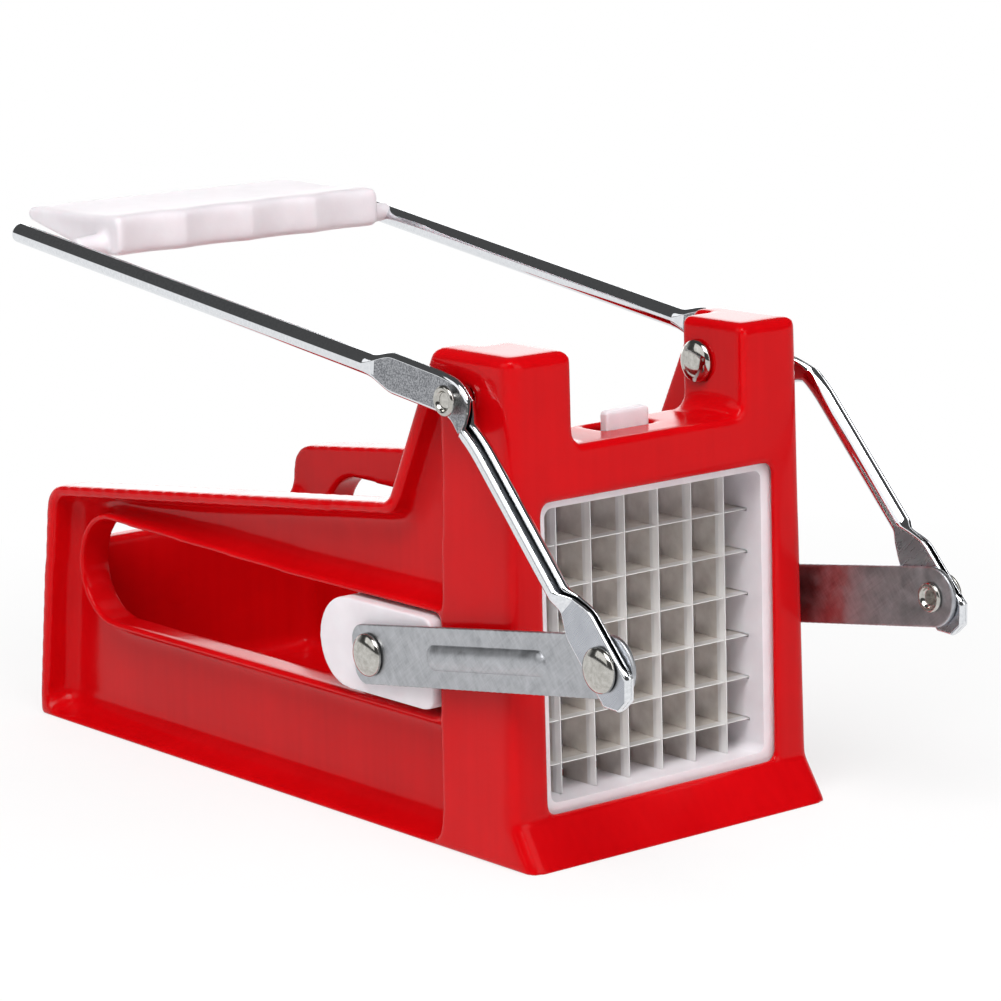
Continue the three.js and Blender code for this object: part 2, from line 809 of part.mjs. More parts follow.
// The lever's centre line in side view: upper arm, bend, lower arm down to the paddle's tip.
// It gives the point and the heading at each distance past the pivot.
function leverLine() {
  const pivot = new THREE.Vector2(-pivotDepth, pivotHeight);
  const link = new THREE.Vector2(linkReach, linkHeight);
  const end = new THREE.Vector2(-gripEndDepth, pivotHeight + gripEndRise);
  const corner = new THREE.Vector2(-bendDepth, pivotHeight - bendDrop);
  const along = corner.clone().sub(end).normalize();
  const down = link.clone().sub(corner).normalize();
  const angle = Math.acos(along.dot(down));
  const run = bendRadius * Math.tan(angle / 2);
  const upper = corner.distanceTo(end) - run;
  const lower = upper + bendRadius * angle;
  const start = end.clone().addScaledVector(along, upper);
  const finish = corner.clone().addScaledVector(down, run);
  const inward = new THREE.Vector2(along.y, -along.x);
  const centre = start.clone().addScaledVector(inward, bendRadius);
  const spoke = start.clone().sub(centre);
  const pivotTurn = spoke.angle() - pivot.clone().sub(centre).angle();
  const zero = upper + bendRadius * pivotTurn;
  function at(distance) {
    const s = distance + zero;
    if (s <= upper) {
      return { point: end.clone().addScaledVector(along, s), heading: along.clone() };
    }
    if (s >= lower) {
      return { point: finish.clone().addScaledVector(down, s - lower), heading: down.clone() };
    }
    const turn = (upper - s) / bendRadius;
    const origin = new THREE.Vector2();
    return {
      point: spoke.clone().rotateAround(origin, turn).add(centre),
      heading: along.clone().rotateAround(origin, turn),
    };
  }
  return { at, rear: -zero, total: lower + finish.distanceTo(link) - zero };
}

const lever = leverLine();

// The lever's middle plane at a distance past the pivot
function leverY(distance) {
  if (distance < -pivotPaddleRear) {
    const share = (distance + pivotPaddleRear) / (lever.rear + pivotPaddleRear);
    return pivotPaddleMiddle + share * upperSplay;
  }
  // The round lower arm lies flush with the link paddle's inner face
  const armMiddle = linkPaddleMiddle + (tubeWidth - paddleThickness) / 2;
  const flatEnd = pivotPaddleFront - flattenRun;
  const outward = THREE.MathUtils.clamp((distance - flatEnd) / flattenRun, 0, 1);
  const roundEnd = lever.total - linkPaddleLength;
  const inward = THREE.MathUtils.clamp((distance - roundEnd) / flattenRun, 0, 1);
  const lowered = THREE.MathUtils.lerp(pivotPaddleMiddle, armMiddle, outward);
  return THREE.MathUtils.lerp(lowered, linkPaddleMiddle, inward);
}

// One ring: a stadium of the given width and thickness, square to the centre line
function leverRing(distance, width, thickness) {
  const { point, heading } = lever.at(distance);
  const middle = leverY(distance);
  const straight = (width - thickness) / 2;
  const ring = [];
  for (let step = 0; step < tubeSegments; step += 1) {
    const angle = 2 * Math.PI * (step + 1 / 2) / tubeSegments;
    const across = Math.cos(angle) * thickness / 2 + Math.sign(Math.cos(angle)) * straight;
    ring.push(new THREE.Vector3(
      point.x - heading.y * across,
      middle + Math.sin(angle) * thickness / 2,
      point.y + heading.x * across,
    ));
  }
  return ring;
}

// How flat the lever is along a flattening: shares of its run, of the widening and of the thinning
const flattenShares = [[0, 0, 0], [0.2, 0.15, 0.35], [0.5, 0.55, 0.75], [0.8, 0.92, 0.97], [1, 1, 1]];

function flattening(start, run, paddleWidth) {
  return flattenShares.map(([place, widened, thinned]) => leverRing(
    start + place * run,
    THREE.MathUtils.lerp(tubeWidth, paddleWidth, widened),
    THREE.MathUtils.lerp(tubeWidth, paddleThickness, thinned),
  ));
}

function leverSolid() {
  const flatRear = flattenRun - pivotPaddleRear;
  const flatFront = pivotPaddleFront - flattenRun;
  const steps = 5;
  const flat = Array.from({ length: steps - 1 }, (_, step) => leverRing(
    THREE.MathUtils.lerp(flatRear, flatFront, (step + 1) / steps), pivotPaddleWidth, paddleThickness));
  const armEnd = lever.total - linkPaddleLength;
  const arm = Array.from({ length: steps - 1 }, (_, step) => leverRing(
    THREE.MathUtils.lerp(pivotPaddleFront, armEnd, (step + 1) / steps), tubeWidth, tubeWidth));
  const rings = [
    leverRing(lever.rear, tubeWidth, tubeWidth),
    ...flattening(-pivotPaddleRear, flattenRun, pivotPaddleWidth),
    ...flat,
    ...flattening(pivotPaddleFront, -flattenRun, pivotPaddleWidth).reverse(),
    ...arm,
    ...flattening(armEnd, flattenRun, linkPaddleWidth),
    leverRing(lever.total + linkPaddleTip, linkPaddleWidth, paddleThickness),
  ];
  const wide = leverEndY + overrun;
  const bore = barY(-pivotDepth, pivotHeight, shankWidth + 2 * fit, 0, wide);
  const linkBore = barY(linkReach, linkHeight, shankWidth + 2 * fit, 0, wide);
  return loft(rings)
    .subtract(tubeBore())
    .subtract(seamSlit())
    .subtract(tipCut(1))
    .subtract(tipCut(-1))
    .subtract(joined([bore, linkBore]));
}

// The hollow of the rolled tube, open at the rear end
function tubeBore() {
  const inner = tubeWidth - 2 * tubeWall;
  const from = leverRing(lever.rear - overrun, inner, inner);
  const to = leverRing(-pivotPaddleRear - tubeWidth, inner, inner);
  return loft([from, to]);
}

// The open seam along the front of the lower arm
function seamSlit() {
  const half = seamWidth / 2;
  const places = [pivotPaddleFront, lever.total - linkPaddleLength / 2];
  const rings = places.map((distance) => {
    const { point, heading } = lever.at(distance);
    const middle = leverY(distance) + tubeWidth / 4;
    const from = tubeWidth / 2 - tubeWall;
    const to = linkPaddleWidth;
    return [[from, -half], [from, half], [to, half], [to, -half]].map(([across, y]) => new THREE.Vector3(
      point.x - heading.y * across, middle + y, point.y + heading.x * across));
  });
  return loft(rings);
}

// The chamfer at one corner of the link paddle's tip
function tipCut(side) {
  const { point, heading } = lever.at(lever.total + linkPaddleTip);
  const half = linkPaddleWidth / 2;
  const reach = overrun / 2;
  const local = [
    [-tipChamfer, half],
    [reach, half - tipChamfer - reach],
    [reach, half + reach],
    [-tipChamfer, half + reach],
  ];
  const corners = local.map(([along, across]) => [
    point.x + heading.x * along - heading.y * across * side,
    point.y + heading.y * along + heading.x * across * side,
  ]);
  return prismY(outline(side > 0 ? corners.reverse() : corners), 0, leverEndY + overrun);
}

// Grip and its cross rod

function leverHeightAt(depth) {
  const start = lever.at(lever.rear).point;
  const next = lever.at(-pivotPaddleRear).point;
  const share = (-depth - start.x) / (next.x - start.x);
  return THREE.MathUtils.lerp(start.y, next.y, share);
}

const frontFaceShare = 0.75;    // how much of the grip's front is its flat face
const rodDepth = gripFront + neckInset;
const rodHeight = leverHeightAt(rodDepth) + neckRise;
const armEndX = lever.at(lever.rear).point.x;
const armStartX = lever.at(-pivotPaddleRear).point.x;
const rodShare = (armStartX + rodDepth) / (armStartX - armEndX);
const leverYAtRod = pivotPaddleMiddle + rodShare * upperSplay;
const gripHalf = leverYAtRod - tubeWidth / 2 - neckGap - neckLength;

// Grip section at a place along Y: thick wavy front, thin straight rear, dished top
function gripRing(y, inset) {
  const wave = Math.abs(Math.sin(Math.PI * scallopCount * (y + gripHalf) / (2 * gripHalf)));
  const front = -gripFront - inset - scallopDepth * wave;
  const rear = -gripFront - gripDepth + inset;
  const middleFront = leverHeightAt(gripFront) + gripRise;
  const middleRear = leverHeightAt(gripFront + gripDepth) + gripRearRise - gripRearThickness / 2;
  const thick = gripFrontThickness / 2 - inset;
  const thin = gripRearThickness / 2 - inset / 2;
  const dish = -gripFront - gripDepth / 3;
  const belly = -gripFront - neckInset - neckWidth;
  const third = (rear - front) / 3;
  const section = [
    [front, middleFront - thick * frontFaceShare],
    [front, middleFront + thick * frontFaceShare],
    [front + third / 8, middleFront + thick],
    [dish, THREE.MathUtils.lerp(middleFront + thick, middleRear + thin, 1 / 3) - gripHollow],
    [rear - third / 8, middleRear + thin],
    [rear, middleRear + thin / 2],
    [rear, middleRear - thin / 2],
    [rear - third / 8, middleRear - thin],
    [belly, middleFront - thick],
    [front + third / 8, middleFront - thick],
  ];
  return section.map(([x, z]) => new THREE.Vector3(x, y, z));
}

function gripSolid() {
  const steps = scallopCount * 6;
  const rings = [];
  const round = edgeRadius / 2;
  rings.push(gripRing(-gripHalf, round / 2));
  for (let step = 0; step <= steps; step += 1) {
    const y = THREE.MathUtils.lerp(round / 2 - gripHalf, gripHalf - round / 2, step / steps);
    rings.push(gripRing(y, 0));
  }
  rings.push(gripRing(gripHalf, round / 2));
  const necks = [1, -1].map((side) => {
    const from = new THREE.CylinderGeometry(neckWidth / 2, tubeWidth / 2, neckLength, 20);
    from.rotateX(side > 0 ? Math.PI : 0);
    from.translate(-rodDepth, side * (gripHalf + neckLength / 2 - fit), rodHeight);
    return solidOf(from);
  });
  const wide = gripHalf + neckLength + overrun;
  const bore = barY(-rodDepth, rodHeight, rodWidth + 2 * fit, -wide, wide);
  return joined([loft(rings), ...necks]).subtract(bore);
}

function rodSolid() {
  const reach = leverYAtRod - tubeWidth / 2 - fit;
  return barY(-rodDepth, rodHeight, rodWidth, -reach, reach);
}

// Rivets and washers, turned about the Y axis

// A profile of [radius, y] points turned about a line along Y through (x, z)
function turned(profile, x, z, segments = 24) {
  const points = profile.map(([radius, y]) => new THREE.Vector2(radius, y));
  const geometry = new THREE.LatheGeometry(points, segments);
  geometry.translate(x, 0, z);
  return geometry;
}

// Dome points from the rim at y0 to the apex, rising by rise in the sense of the sign
function domePoints(width, y0, rise) {
  const steps = 4;
  return Array.from({ length: steps + 1 }, (_, step) => {
    const angle = Math.PI / 2 * step / steps;
    return [step === steps ? 0 : width / 2 * Math.cos(angle), y0 + rise * Math.sin(angle)];
  });
}

// Domed head on the towers' inner face, rolled tail outside the lever
function pivotRivet() {
  const head = towerInnerHalf - fit;
  const tail = pivotPaddleInner + paddleThickness + fit;
  return turned([
    ...domePoints(domeWidth, head, -domeRise).reverse(),
    [shankWidth / 2, head],
    [shankWidth / 2, tail],
    [tailWidth / 2, tail],
    [tailWidth / 2, tail + tailRise],
    [0, tail + tailRise],
  ], -pivotDepth, pivotHeight);
}

function pivotWasher() {
  return ringSolid(washerWidth, washerInner, washerThickness, -pivotDepth, pivotHeight);
}

function ringSolid(width, y0, thickness, x, z) {
  const bore = shankWidth / 2 + fit;
  return turned([
    [bore, y0],
    [width / 2, y0],
    [width / 2, y0 + thickness],
    [bore, y0 + thickness],
    [bore, y0],
  ], x, z);
}

function pusherRivet() {
  const head = strapOuter + fit;
  const tail = carrierHalf - cheekWall - fit;
  return turned([
    [0, tail - tailRise],
    [tailWidth / 2, tail - tailRise],
    [tailWidth / 2, tail],
    [shankWidth / 2, tail],
    [shankWidth / 2, head],
    ...domePoints(domeWidth, head, domeRise),
  ], -pinDepth, pinHeight);
}

// The link is where the closed chain is opened: the shank ends just short of the strap
function linkRivet() {
  const paddle = linkPaddleMiddle - paddleThickness / 2;
  const head = linkPaddleMiddle + paddleThickness / 2 + fit;
  return turned([
    [0, paddle],
    [shankWidth / 2, paddle],
    [shankWidth / 2, head],
    ...domePoints(domeWidth, head, domeRise),
  ], linkReach, linkHeight);
}

function linkWasher() {
  const y0 = strapInner - fit - tailRise;
  return turned([
    [0, y0],
    [tailWidth / 2, y0],
    [tailWidth / 2, y0 + tailRise],
    [shankWidth / 2, y0 + tailRise],
    [shankWidth / 2, strapOuter],
    [0, strapOuter],
  ], linkReach, linkHeight);
}

// Finishes

const finishes = {
  red: { color: 0xc4232b, roughness: 0.3, metalness: 0 },
  white: { color: 0xf2eef0, roughness: 0.45, metalness: 0 },
  blade: { color: 0xc9c3bb, roughness: 0.25, metalness: 1 },
  chrome: { color: 0xd9dadc, roughness: 0.08, metalness: 1 },
  galvanised: { color: 0xb4b6ba, roughness: 0.4, metalness: 1 },
  rivet: { color: 0xbfc1c4, roughness: 0.3, metalness: 1 },
};

const slicer = new THREE.Group();
const model = new THREE.Group();
slicer.add(model);

function addPiece(name, shape, finish) {
  const geometry = shape.isBufferGeometry ? shape : geometryOf(shape);
  const mesh = new THREE.Mesh(geometry, new THREE.MeshStandardMaterial(finishes[finish]));
  mesh.name = name;
  model.add(mesh);
}

// The left piece as built and the right one mirrored in the middle plane
function addPair(name, shape, finish) {
  const geometry = shape.isBufferGeometry ? shape : geometryOf(shape);
  addPiece(`${name}_left`, geometry, finish);
  addPiece(`${name}_right`, mirroredY(geometry), finish);
}

addPiece('body', standSolid(), 'red');
addPiece('cartridge_frame', cartridgeSolid(), 'white');
bladePlaces().forEach((place, index) => {
  addPiece(`vertical_blade_${index + 1}`, bladeSolid(place, true), 'blade');
  addPiece(`horizontal_blade_${index + 1}`, bladeSolid(place, false), 'blade');
});
addPiece('release_tab', tabSolid(), 'white');
addPiece('pusher_carrier', carrierSolid(), 'white');
addPiece('peg_plate', pegPlateSolid(), 'white');
addPair('slider_ear', earSolid(), 'white');
addPair('strap', strapSolid(), 'galvanised');
addPair('lever', leverSolid(), 'chrome');
addPiece('grip', gripSolid(), 'white');
addPiece('grip_rod', rodSolid(), 'rivet');
addPair('pivot_rivet', pivotRivet(), 'rivet');
addPair('pivot_washer', pivotWasher(), 'galvanised');
addPair('pusher_rivet', pusherRivet(), 'rivet');
addPair('link_rivet', linkRivet(), 'rivet');
addPair('link_washer', linkWasher(), 'rivet');

// The slicer stands on z = 0 with the middle of its bounding box over the origin
const bounds = new THREE.Box3().setFromObject(model);
const centre = bounds.getCenter(new THREE.Vector3());
model.position.set(-centre.x, -centre.y, -bounds.min.z);

export default slicer;
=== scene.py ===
"""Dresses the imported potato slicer: smooth moulded plastic, rolled and pressed levers, turned rivets.

Sizes are in metres in the frame of the part: +X is the outfeed side, +Y the left side, +Z up.
"""

import math

import bmesh
import bpy
import numpy as np
from bpy.props import FloatProperty, FloatVectorProperty, IntProperty, PointerProperty
from mathutils import Euler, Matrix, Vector


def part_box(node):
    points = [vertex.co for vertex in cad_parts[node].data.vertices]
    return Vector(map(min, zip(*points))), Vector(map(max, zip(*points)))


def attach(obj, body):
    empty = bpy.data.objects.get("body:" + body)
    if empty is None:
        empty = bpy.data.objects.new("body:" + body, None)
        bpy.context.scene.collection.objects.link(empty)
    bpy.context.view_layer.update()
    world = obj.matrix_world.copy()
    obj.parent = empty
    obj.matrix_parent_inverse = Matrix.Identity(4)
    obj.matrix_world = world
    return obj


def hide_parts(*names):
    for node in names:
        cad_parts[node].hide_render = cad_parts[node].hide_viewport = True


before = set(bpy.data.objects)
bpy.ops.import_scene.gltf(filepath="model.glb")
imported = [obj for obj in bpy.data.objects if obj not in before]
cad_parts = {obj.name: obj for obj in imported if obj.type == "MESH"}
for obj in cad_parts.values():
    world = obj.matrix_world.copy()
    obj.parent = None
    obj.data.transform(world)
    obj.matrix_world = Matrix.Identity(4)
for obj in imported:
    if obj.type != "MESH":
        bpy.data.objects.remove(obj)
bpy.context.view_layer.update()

bl_info = {
    "name": "Potato slicer looks",
    "version": (1, 0, 0),
    "blender": (4, 5, 0),
    "location": "View3D > Sidebar > Slicer",
    "description": "Builds the dressed pieces of a lever-operated potato slicer",
    "category": "Object",
}

MM = 0.001
FLARE_REACH = 7.9 * MM
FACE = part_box("body")[1].x - FLARE_REACH  # the face of the front plate
SIDES = {"left": 1, "right": -1}
BEHIND = (-0.785, 0.62, 0.0)  # level direction from the camera past the object
METAL = {"Metallic": 1.0}
PATTERN_LOW, PATTERN_HIGH = 0.3, 0.7  # between these lies most of a cloudy pattern


def middle_of(node):
    """The middle of a node's box."""
    low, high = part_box(node)
    return (low + high) / 2


PIVOT = middle_of("pivot_rivet_left")
LINK = middle_of("link_rivet_left")
PIN = middle_of("pusher_rivet_left")


# Colours and nodes


def linear(code):
    """A colour written as sRGB hex, turned to the linear values that the nodes take."""
    shares = [int(code[i : i + 2], 16) / 255 for i in (1, 3, 5)]
    return tuple(s / 12.92 if s <= 0.04045 else ((s + 0.055) / 1.055) ** 2.4 for s in shares)


def add_node(tree, kind, settings=None, links=None):
    """Adds a node, sets its properties and unlinked inputs, and links the others."""
    made = tree.nodes.new(kind)
    for key, value in (settings or {}).items():
        if isinstance(key, str) and hasattr(made, key):
            setattr(made, key, value)
        else:
            made.inputs[key].default_value = value
    for key, source in (links or {}).items():
        tree.links.new(source, made.inputs[key])
    return made


def new_material(name):
    """An empty node material with its tree."""
    material = bpy.data.materials.new(name)
    material.use_nodes = True
    material.node_tree.nodes.clear()
    return material, material.node_tree


def blotches(tree, lengths, detail, roughness=0.5, turn=(0.0, 0.0, 0.0)):
    """A cloudy pattern on the piece, turned, with blotches of a length in metres along each axis."""
    place = add_node(tree, "ShaderNodeTexCoord")
    turned_place = add_node(
        tree, "ShaderNodeMapping", {"Rotation": turn}, {"Vector": place.outputs["Object"]}
    )
    stretched = add_node(
        tree,
        "ShaderNodeMapping",
        {"Scale": tuple(1 / length for length in lengths)},
        {"Vector": turned_place.outputs["Vector"]},
    )
    noise = add_node(
        tree,
        "ShaderNodeTexNoise",
        {"Scale": 1.0, "Detail": detail, "Roughness": roughness},
        {"Vector": stretched.outputs["Vector"]},
    )
    return noise.outputs["Fac"]


def two_toned(tree, pattern, start, end, first, second):
    """A colour that goes from the first to the second where a pattern goes from start to end."""
    share = add_node(tree, "ShaderNodeMapRange", {"From Min": start, "From Max": end}, {"Value": pattern})
    colour = add_node(
        tree,
        "ShaderNodeMix",
        {"data_type": "RGBA", 6: (*first, 1.0), 7: (*second, 1.0)},
        {0: share.outputs["Result"]},
    )
    return colour.outputs[2]


def finished(tree, settings, colour, dulled, reliefs):
    """The shader: a colour, a pattern with the least and most roughness, and reliefs, the lowest first."""
    pattern, least, most = dulled
    rough = add_node(
        tree,
        "ShaderNodeMapRange",
        {"From Min": PATTERN_LOW, "From Max": PATTERN_HIGH, "To Min": least, "To Max": most},
        {"Value": pattern},
    )
    normal = {}
    for pattern, depth in reliefs:
        bump = add_node(
            tree, "ShaderNodeBump", {"Distance": depth, "Strength": 1.0}, {"Height": pattern, **normal}
        )
        normal = {"Normal": bump.outputs["Normal"]}
    shader = add_node(
        tree,
        "ShaderNodeBsdfPrincipled",
        settings,
        {"Base Color": colour, "Roughness": rough.outputs["Result"], **normal},
    )
    add_node(tree, "ShaderNodeOutputMaterial", links={"Surface": shader.outputs["BSDF"]})
    return shader


# Materials


def pin_mark(tree):
    """The ring that an ejector pin left on the inner face of the rear wall, as a height."""
    middle = (0.0, -8.4 * MM, 35.4 * MM)
    radius, half_line = 5.6 * MM, 0.35 * MM
    inner_face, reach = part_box("body")[0].x + 14.3 * MM, 1.5 * MM
    place = add_node(tree, "ShaderNodeTexCoord").outputs["Object"]
    parts = add_node(tree, "ShaderNodeSeparateXYZ", links={"Vector": place}).outputs
    flat = add_node(tree, "ShaderNodeCombineXYZ", links={"Y": parts["Y"], "Z": parts["Z"]})
    away = add_node(
        tree, "ShaderNodeVectorMath", {"operation": "DISTANCE", 1: middle}, {0: flat.outputs["Vector"]}
    )
    ring = add_node(
        tree,
        "ShaderNodeMath",
        {"operation": "COMPARE", 1: radius, 2: half_line},
        {0: away.outputs["Value"]},
    )
    wall = add_node(
        tree, "ShaderNodeMath", {"operation": "COMPARE", 1: inner_face, 2: reach}, {0: parts["X"]}
    )
    mark = add_node(
        tree, "ShaderNodeMath", {"operation": "MULTIPLY"}, {0: ring.outputs[0], 1: wall.outputs[0]}
    )
    return mark.outputs[0]


def red_abs():
    """Injection-moulded ABS from a polished mould: even red, glossy, with faint flow streaks."""
    material, tree = new_material("red_abs_moulded")
    look = bpy.context.scene.slicer_plastics
    streaks = blotches(tree, (3 * MM, 3 * MM, 70 * MM), detail=3.0)  # the melt rose in the mould
    clouds = blotches(tree, [30 * MM] * 3, detail=3.0)
    peel = blotches(tree, [3 * MM] * 3, detail=1.0)
    both = add_node(
        tree, "ShaderNodeMath", {"operation": "MULTIPLY_ADD", 1: 0.5}, {0: streaks, 2: clouds}
    ).outputs[0]
    finished(
        tree,
        {
            "IOR": 1.5,
            "Specular IOR Level": 0.12,
            "Subsurface Weight": 0.15,
            "Subsurface Radius": (1.0, 0.08, 0.08),
            "Subsurface Scale": 4 * MM,
        },
        two_toned(tree, both, 0.45, 1.05, look.red_deep, look.red_light),
        (clouds, 0.1, 0.2),
        [(peel, 0.012 * MM), (streaks, 0.006 * MM), (pin_mark(tree), 0.12 * MM)],
    )
    return material


def white_hdpe():
    """Moulded polyethylene: waxy white that lets a little light in, with a fine sand texture."""
    material, tree = new_material("white_hdpe_moulded")
    look = bpy.context.scene.slicer_plastics
    clouds = blotches(tree, [11 * MM] * 3, detail=3.0)
    sand = blotches(tree, [0.7 * MM] * 3, detail=2.0)  # coarser than the real sand, so that it shows
    finished(
        tree,
        {
            "IOR": 1.51,
            "Subsurface Weight": 0.25,
            "Subsurface Radius": (1.0, 0.7, 0.75),
            "Subsurface Scale": 3 * MM,
        },
        two_toned(tree, clouds, 0.2, 0.8, look.white_shade, look.white_light),
        (clouds, 0.36, 0.46),
        [(sand, 0.015 * MM)],
    )
    return material


def blade_steel():
    """Cold-rolled stainless strip: satin sides with faint lines, and a ground edge in front whose near-white
    colour and low metalness paint the highlight of its bevel catching the light.
    """
    material, tree = new_material("blade_stainless_satin")
    sizes = bpy.context.scene.slicer_plastics
    start, blend = FACE - sizes.blade_inset - sizes.blade_bevel, 0.05 * MM
    place = add_node(tree, "ShaderNodeTexCoord").outputs
    depth = add_node(tree, "ShaderNodeSeparateXYZ", links={"Vector": place["Object"]}).outputs["X"]
    facing = add_node(tree, "ShaderNodeSeparateXYZ", links={"Vector": place["Normal"]}).outputs["Y"]
    ground = add_node(
        tree, "ShaderNodeMapRange", {"From Min": start - blend, "From Max": start + blend}, {"Value": depth}
    ).outputs["Result"]
    # Painted highlight: on the blades' side faces the ground edge is made less metallic so that it reads
    # bright, standing in for its bevel catching the light
    upright = add_node(tree, "ShaderNodeMath", {"operation": "ABSOLUTE"}, {0: facing}).outputs[0]
    painted_highlight = add_node(tree, "ShaderNodeMath", {"operation": "MULTIPLY"}, {0: ground, 1: upright}).outputs[0]
    # The lines are coarser than those that the roll leaves, so that they show
    lines = blotches(tree, (0.3 * MM, 14 * MM, 14 * MM), detail=4.0)
    stains = blotches(tree, [5 * MM] * 3, detail=4.0)
    satin = two_toned(tree, stains, 0.3, 0.8, linear("#F4F0EA"), linear("#DAD3CC"))
    colour = add_node(
        # The ground edge's near-white colour: partly the real ground finish, partly a painted highlight of
        # the bevel
        tree, "ShaderNodeMix", {"data_type": "RGBA", 7: (*linear("#F4F3F2"), 1.0)}, {0: ground, 6: satin}
    ).outputs[2]
    shader = finished(tree, {}, colour, (lines, 0.36, 0.5), [(lines, 0.006 * MM)])
    dull = shader.inputs["Roughness"].links[0].from_socket
    rough = add_node(tree, "ShaderNodeMix", {3: 0.3}, {0: ground, 2: dull}).outputs[0]
    # Less metal where the painted highlight lies, so that the edge shows a bright diffuse part
    metal = add_node(tree, "ShaderNodeMapRange", {"To Min": 0.62, "To Max": 0.36}, {"Value": painted_highlight})
    tree.links.new(rough, shader.inputs["Roughness"])
    tree.links.new(metal.outputs["Result"], shader.inputs["Metallic"])
    return material


def chrome_plate():
    """Bright chromium plate on rolled steel: a mirror with a slight waviness from the rolling."""
    material, tree = new_material("chrome_plated_tube")
    waves = blotches(tree, (30 * MM, 3 * MM, 12 * MM), detail=2.0)
    specks = blotches(tree, [0.8 * MM] * 3, detail=3.0)
    colour = two_toned(tree, specks, 0.3, 0.8, linear("#E4E6E9"), linear("#D2D5D9"))
    finished(tree, METAL, colour, (specks, 0.03, 0.07), [(waves, 0.015 * MM)])
    return material


def tube_inside_painted_shade():
    """Rolled steel inside the tube: dull where the plating hardly reaches, and coloured near black as painted
    shade in the hollow.
    """
    material, tree = new_material("steel_inside_tube")
    streaks = blotches(tree, (8 * MM, 2 * MM, 8 * MM), detail=3.0)
    # Near-black colours: painted shade for the tube's hollow, darker than the steel itself
    colour = two_toned(tree, streaks, 0.0, 1.0, linear("#2E3034"), linear("#484A4F"))
    finished(tree, METAL, colour, (streaks, 0.35, 0.5), [(streaks, 0.02 * MM)])
    return material


def pressed_plate():
    """Plated steel flattened in a coarse die: grainy satin grey with fine bright specks."""
    material, tree = new_material("chrome_plate_die_pressed")
    specks = blotches(tree, [0.45 * MM] * 3, detail=3.0, roughness=0.7)
    clouds = blotches(tree, [7 * MM] * 3, detail=2.0)
    colour = two_toned(tree, specks, 0.38, 0.62, linear("#66686D"), linear("#B2B4B8"))
    finished(tree, METAL, colour, (clouds, 0.3, 0.42), [(specks, 0.05 * MM)])
    return material


def satin_plate():
    """Plated steel flattened in a smooth die: even satin with long, faint sliding marks."""
    material, tree = new_material("chrome_plate_satin")
    marks = blotches(tree, (6 * MM, 6 * MM, 0.6 * MM), detail=3.0, turn=(0, 0.8, 0))
    clouds = blotches(tree, [9 * MM] * 3, detail=2.0)
    colour = two_toned(tree, clouds, 0.3, 0.7, linear("#B9BCC2"), linear("#A9ACB3"))
    finished(tree, METAL, colour, (marks, 0.24, 0.34), [(marks, 0.008 * MM)])
    return material


def galvanised():
    """Hot-dip galvanised strip: cloudy light grey, scratched along and across by handling."""
    material, tree = new_material("galvanised_strip")
    place = add_node(tree, "ShaderNodeTexCoord").outputs["Object"]
    spangle = add_node(
        tree,
        "ShaderNodeTexVoronoi",
        {"feature": "F1", "Scale": 1 / (2.6 * MM), "Randomness": 1.0},
        {"Vector": place},
    ).outputs["Distance"]
    clouds = blotches(tree, [5 * MM] * 3, detail=4.0, roughness=0.6)
    scratches = blotches(tree, (14 * MM, 14 * MM, 0.3 * MM), detail=3.0, turn=(0, 0.62, 0))
    smears = blotches(tree, (5 * MM, 5 * MM, 0.5 * MM), detail=3.0, turn=(0, -0.9, 0))
    grain = add_node(
        tree, "ShaderNodeMath", {"operation": "MULTIPLY_ADD", 1: 0.25}, {0: spangle, 2: clouds}
    ).outputs[0]
    worn = add_node(tree, "ShaderNodeMath", {"operation": "MULTIPLY"}, {0: scratches, 1: smears}).outputs[0]
    shade = add_node(tree, "ShaderNodeMath", {"operation": "SUBTRACT"}, {0: grain, 1: worn}).outputs[0]
    colour = two_toned(tree, shade, 0.0, 0.65, linear("#989A9E"), linear("#BDBFC3"))
    finished(tree, METAL, colour, (clouds, 0.3, 0.46), [(scratches, 0.006 * MM)])
    return material


def zinc_rivet():
    """Bright zinc-plated rivet steel: shiny, softly clouded, with a few struck marks."""
    material, tree = new_material("rivet_zinc_bright")
    marks = blotches(tree, [1.6 * MM] * 3, detail=3.0, roughness=0.6)
    clouds = blotches(tree, [5 * MM] * 3, detail=2.0)
    colour = two_toned(tree, marks, 0.3, 0.7, linear("#A9A7A1"), linear("#C6C4BF"))
    finished(tree, METAL, colour, (clouds, 0.08, 0.15), [(marks, 0.006 * MM)])
    return material


def shared(make):
    """The material that a function makes, made once."""
    made = shared.made.get(make.__name__)
    if made is None:
        made = shared.made[make.__name__] = make()
    return made


shared.made = {}


# Meshes


def new_piece(name, mesh, *makers):
    """An object with a mesh and its materials."""
    piece = bpy.data.objects.new(name, mesh)
    bpy.context.scene.collection.objects.link(piece)
    mesh.materials.clear()
    for make in makers:
        mesh.materials.append(shared(make))
    return piece


def mesh_of(name, places, faces):
    """A mesh from places and faces, with its normals outward."""
    mesh = bpy.data.meshes.new(name)
    mesh.from_pydata([tuple(p) for p in places], [], faces)
    made = bmesh.new()
    made.from_mesh(mesh)
    bmesh.ops.recalc_face_normals(made, faces=made.faces)
    made.to_mesh(mesh)
    made.free()
    return mesh


def copied(name, node):
    """A node's mesh with its split corners joined."""
    weld = 0.002 * MM
    made = bmesh.new()
    made.from_mesh(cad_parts[node].data)
    bmesh.ops.remove_doubles(made, verts=made.verts, dist=weld)
    mesh = bpy.data.meshes.new(name)
    made.to_mesh(mesh)
    made.free()
    return mesh


def applied(piece):
    """Turns a piece's modifiers into its mesh."""
    graph = bpy.context.evaluated_depsgraph_get()
    mesh = bpy.data.meshes.new_from_object(piece.evaluated_get(graph))
    piece.modifiers.clear()
    piece.data = mesh


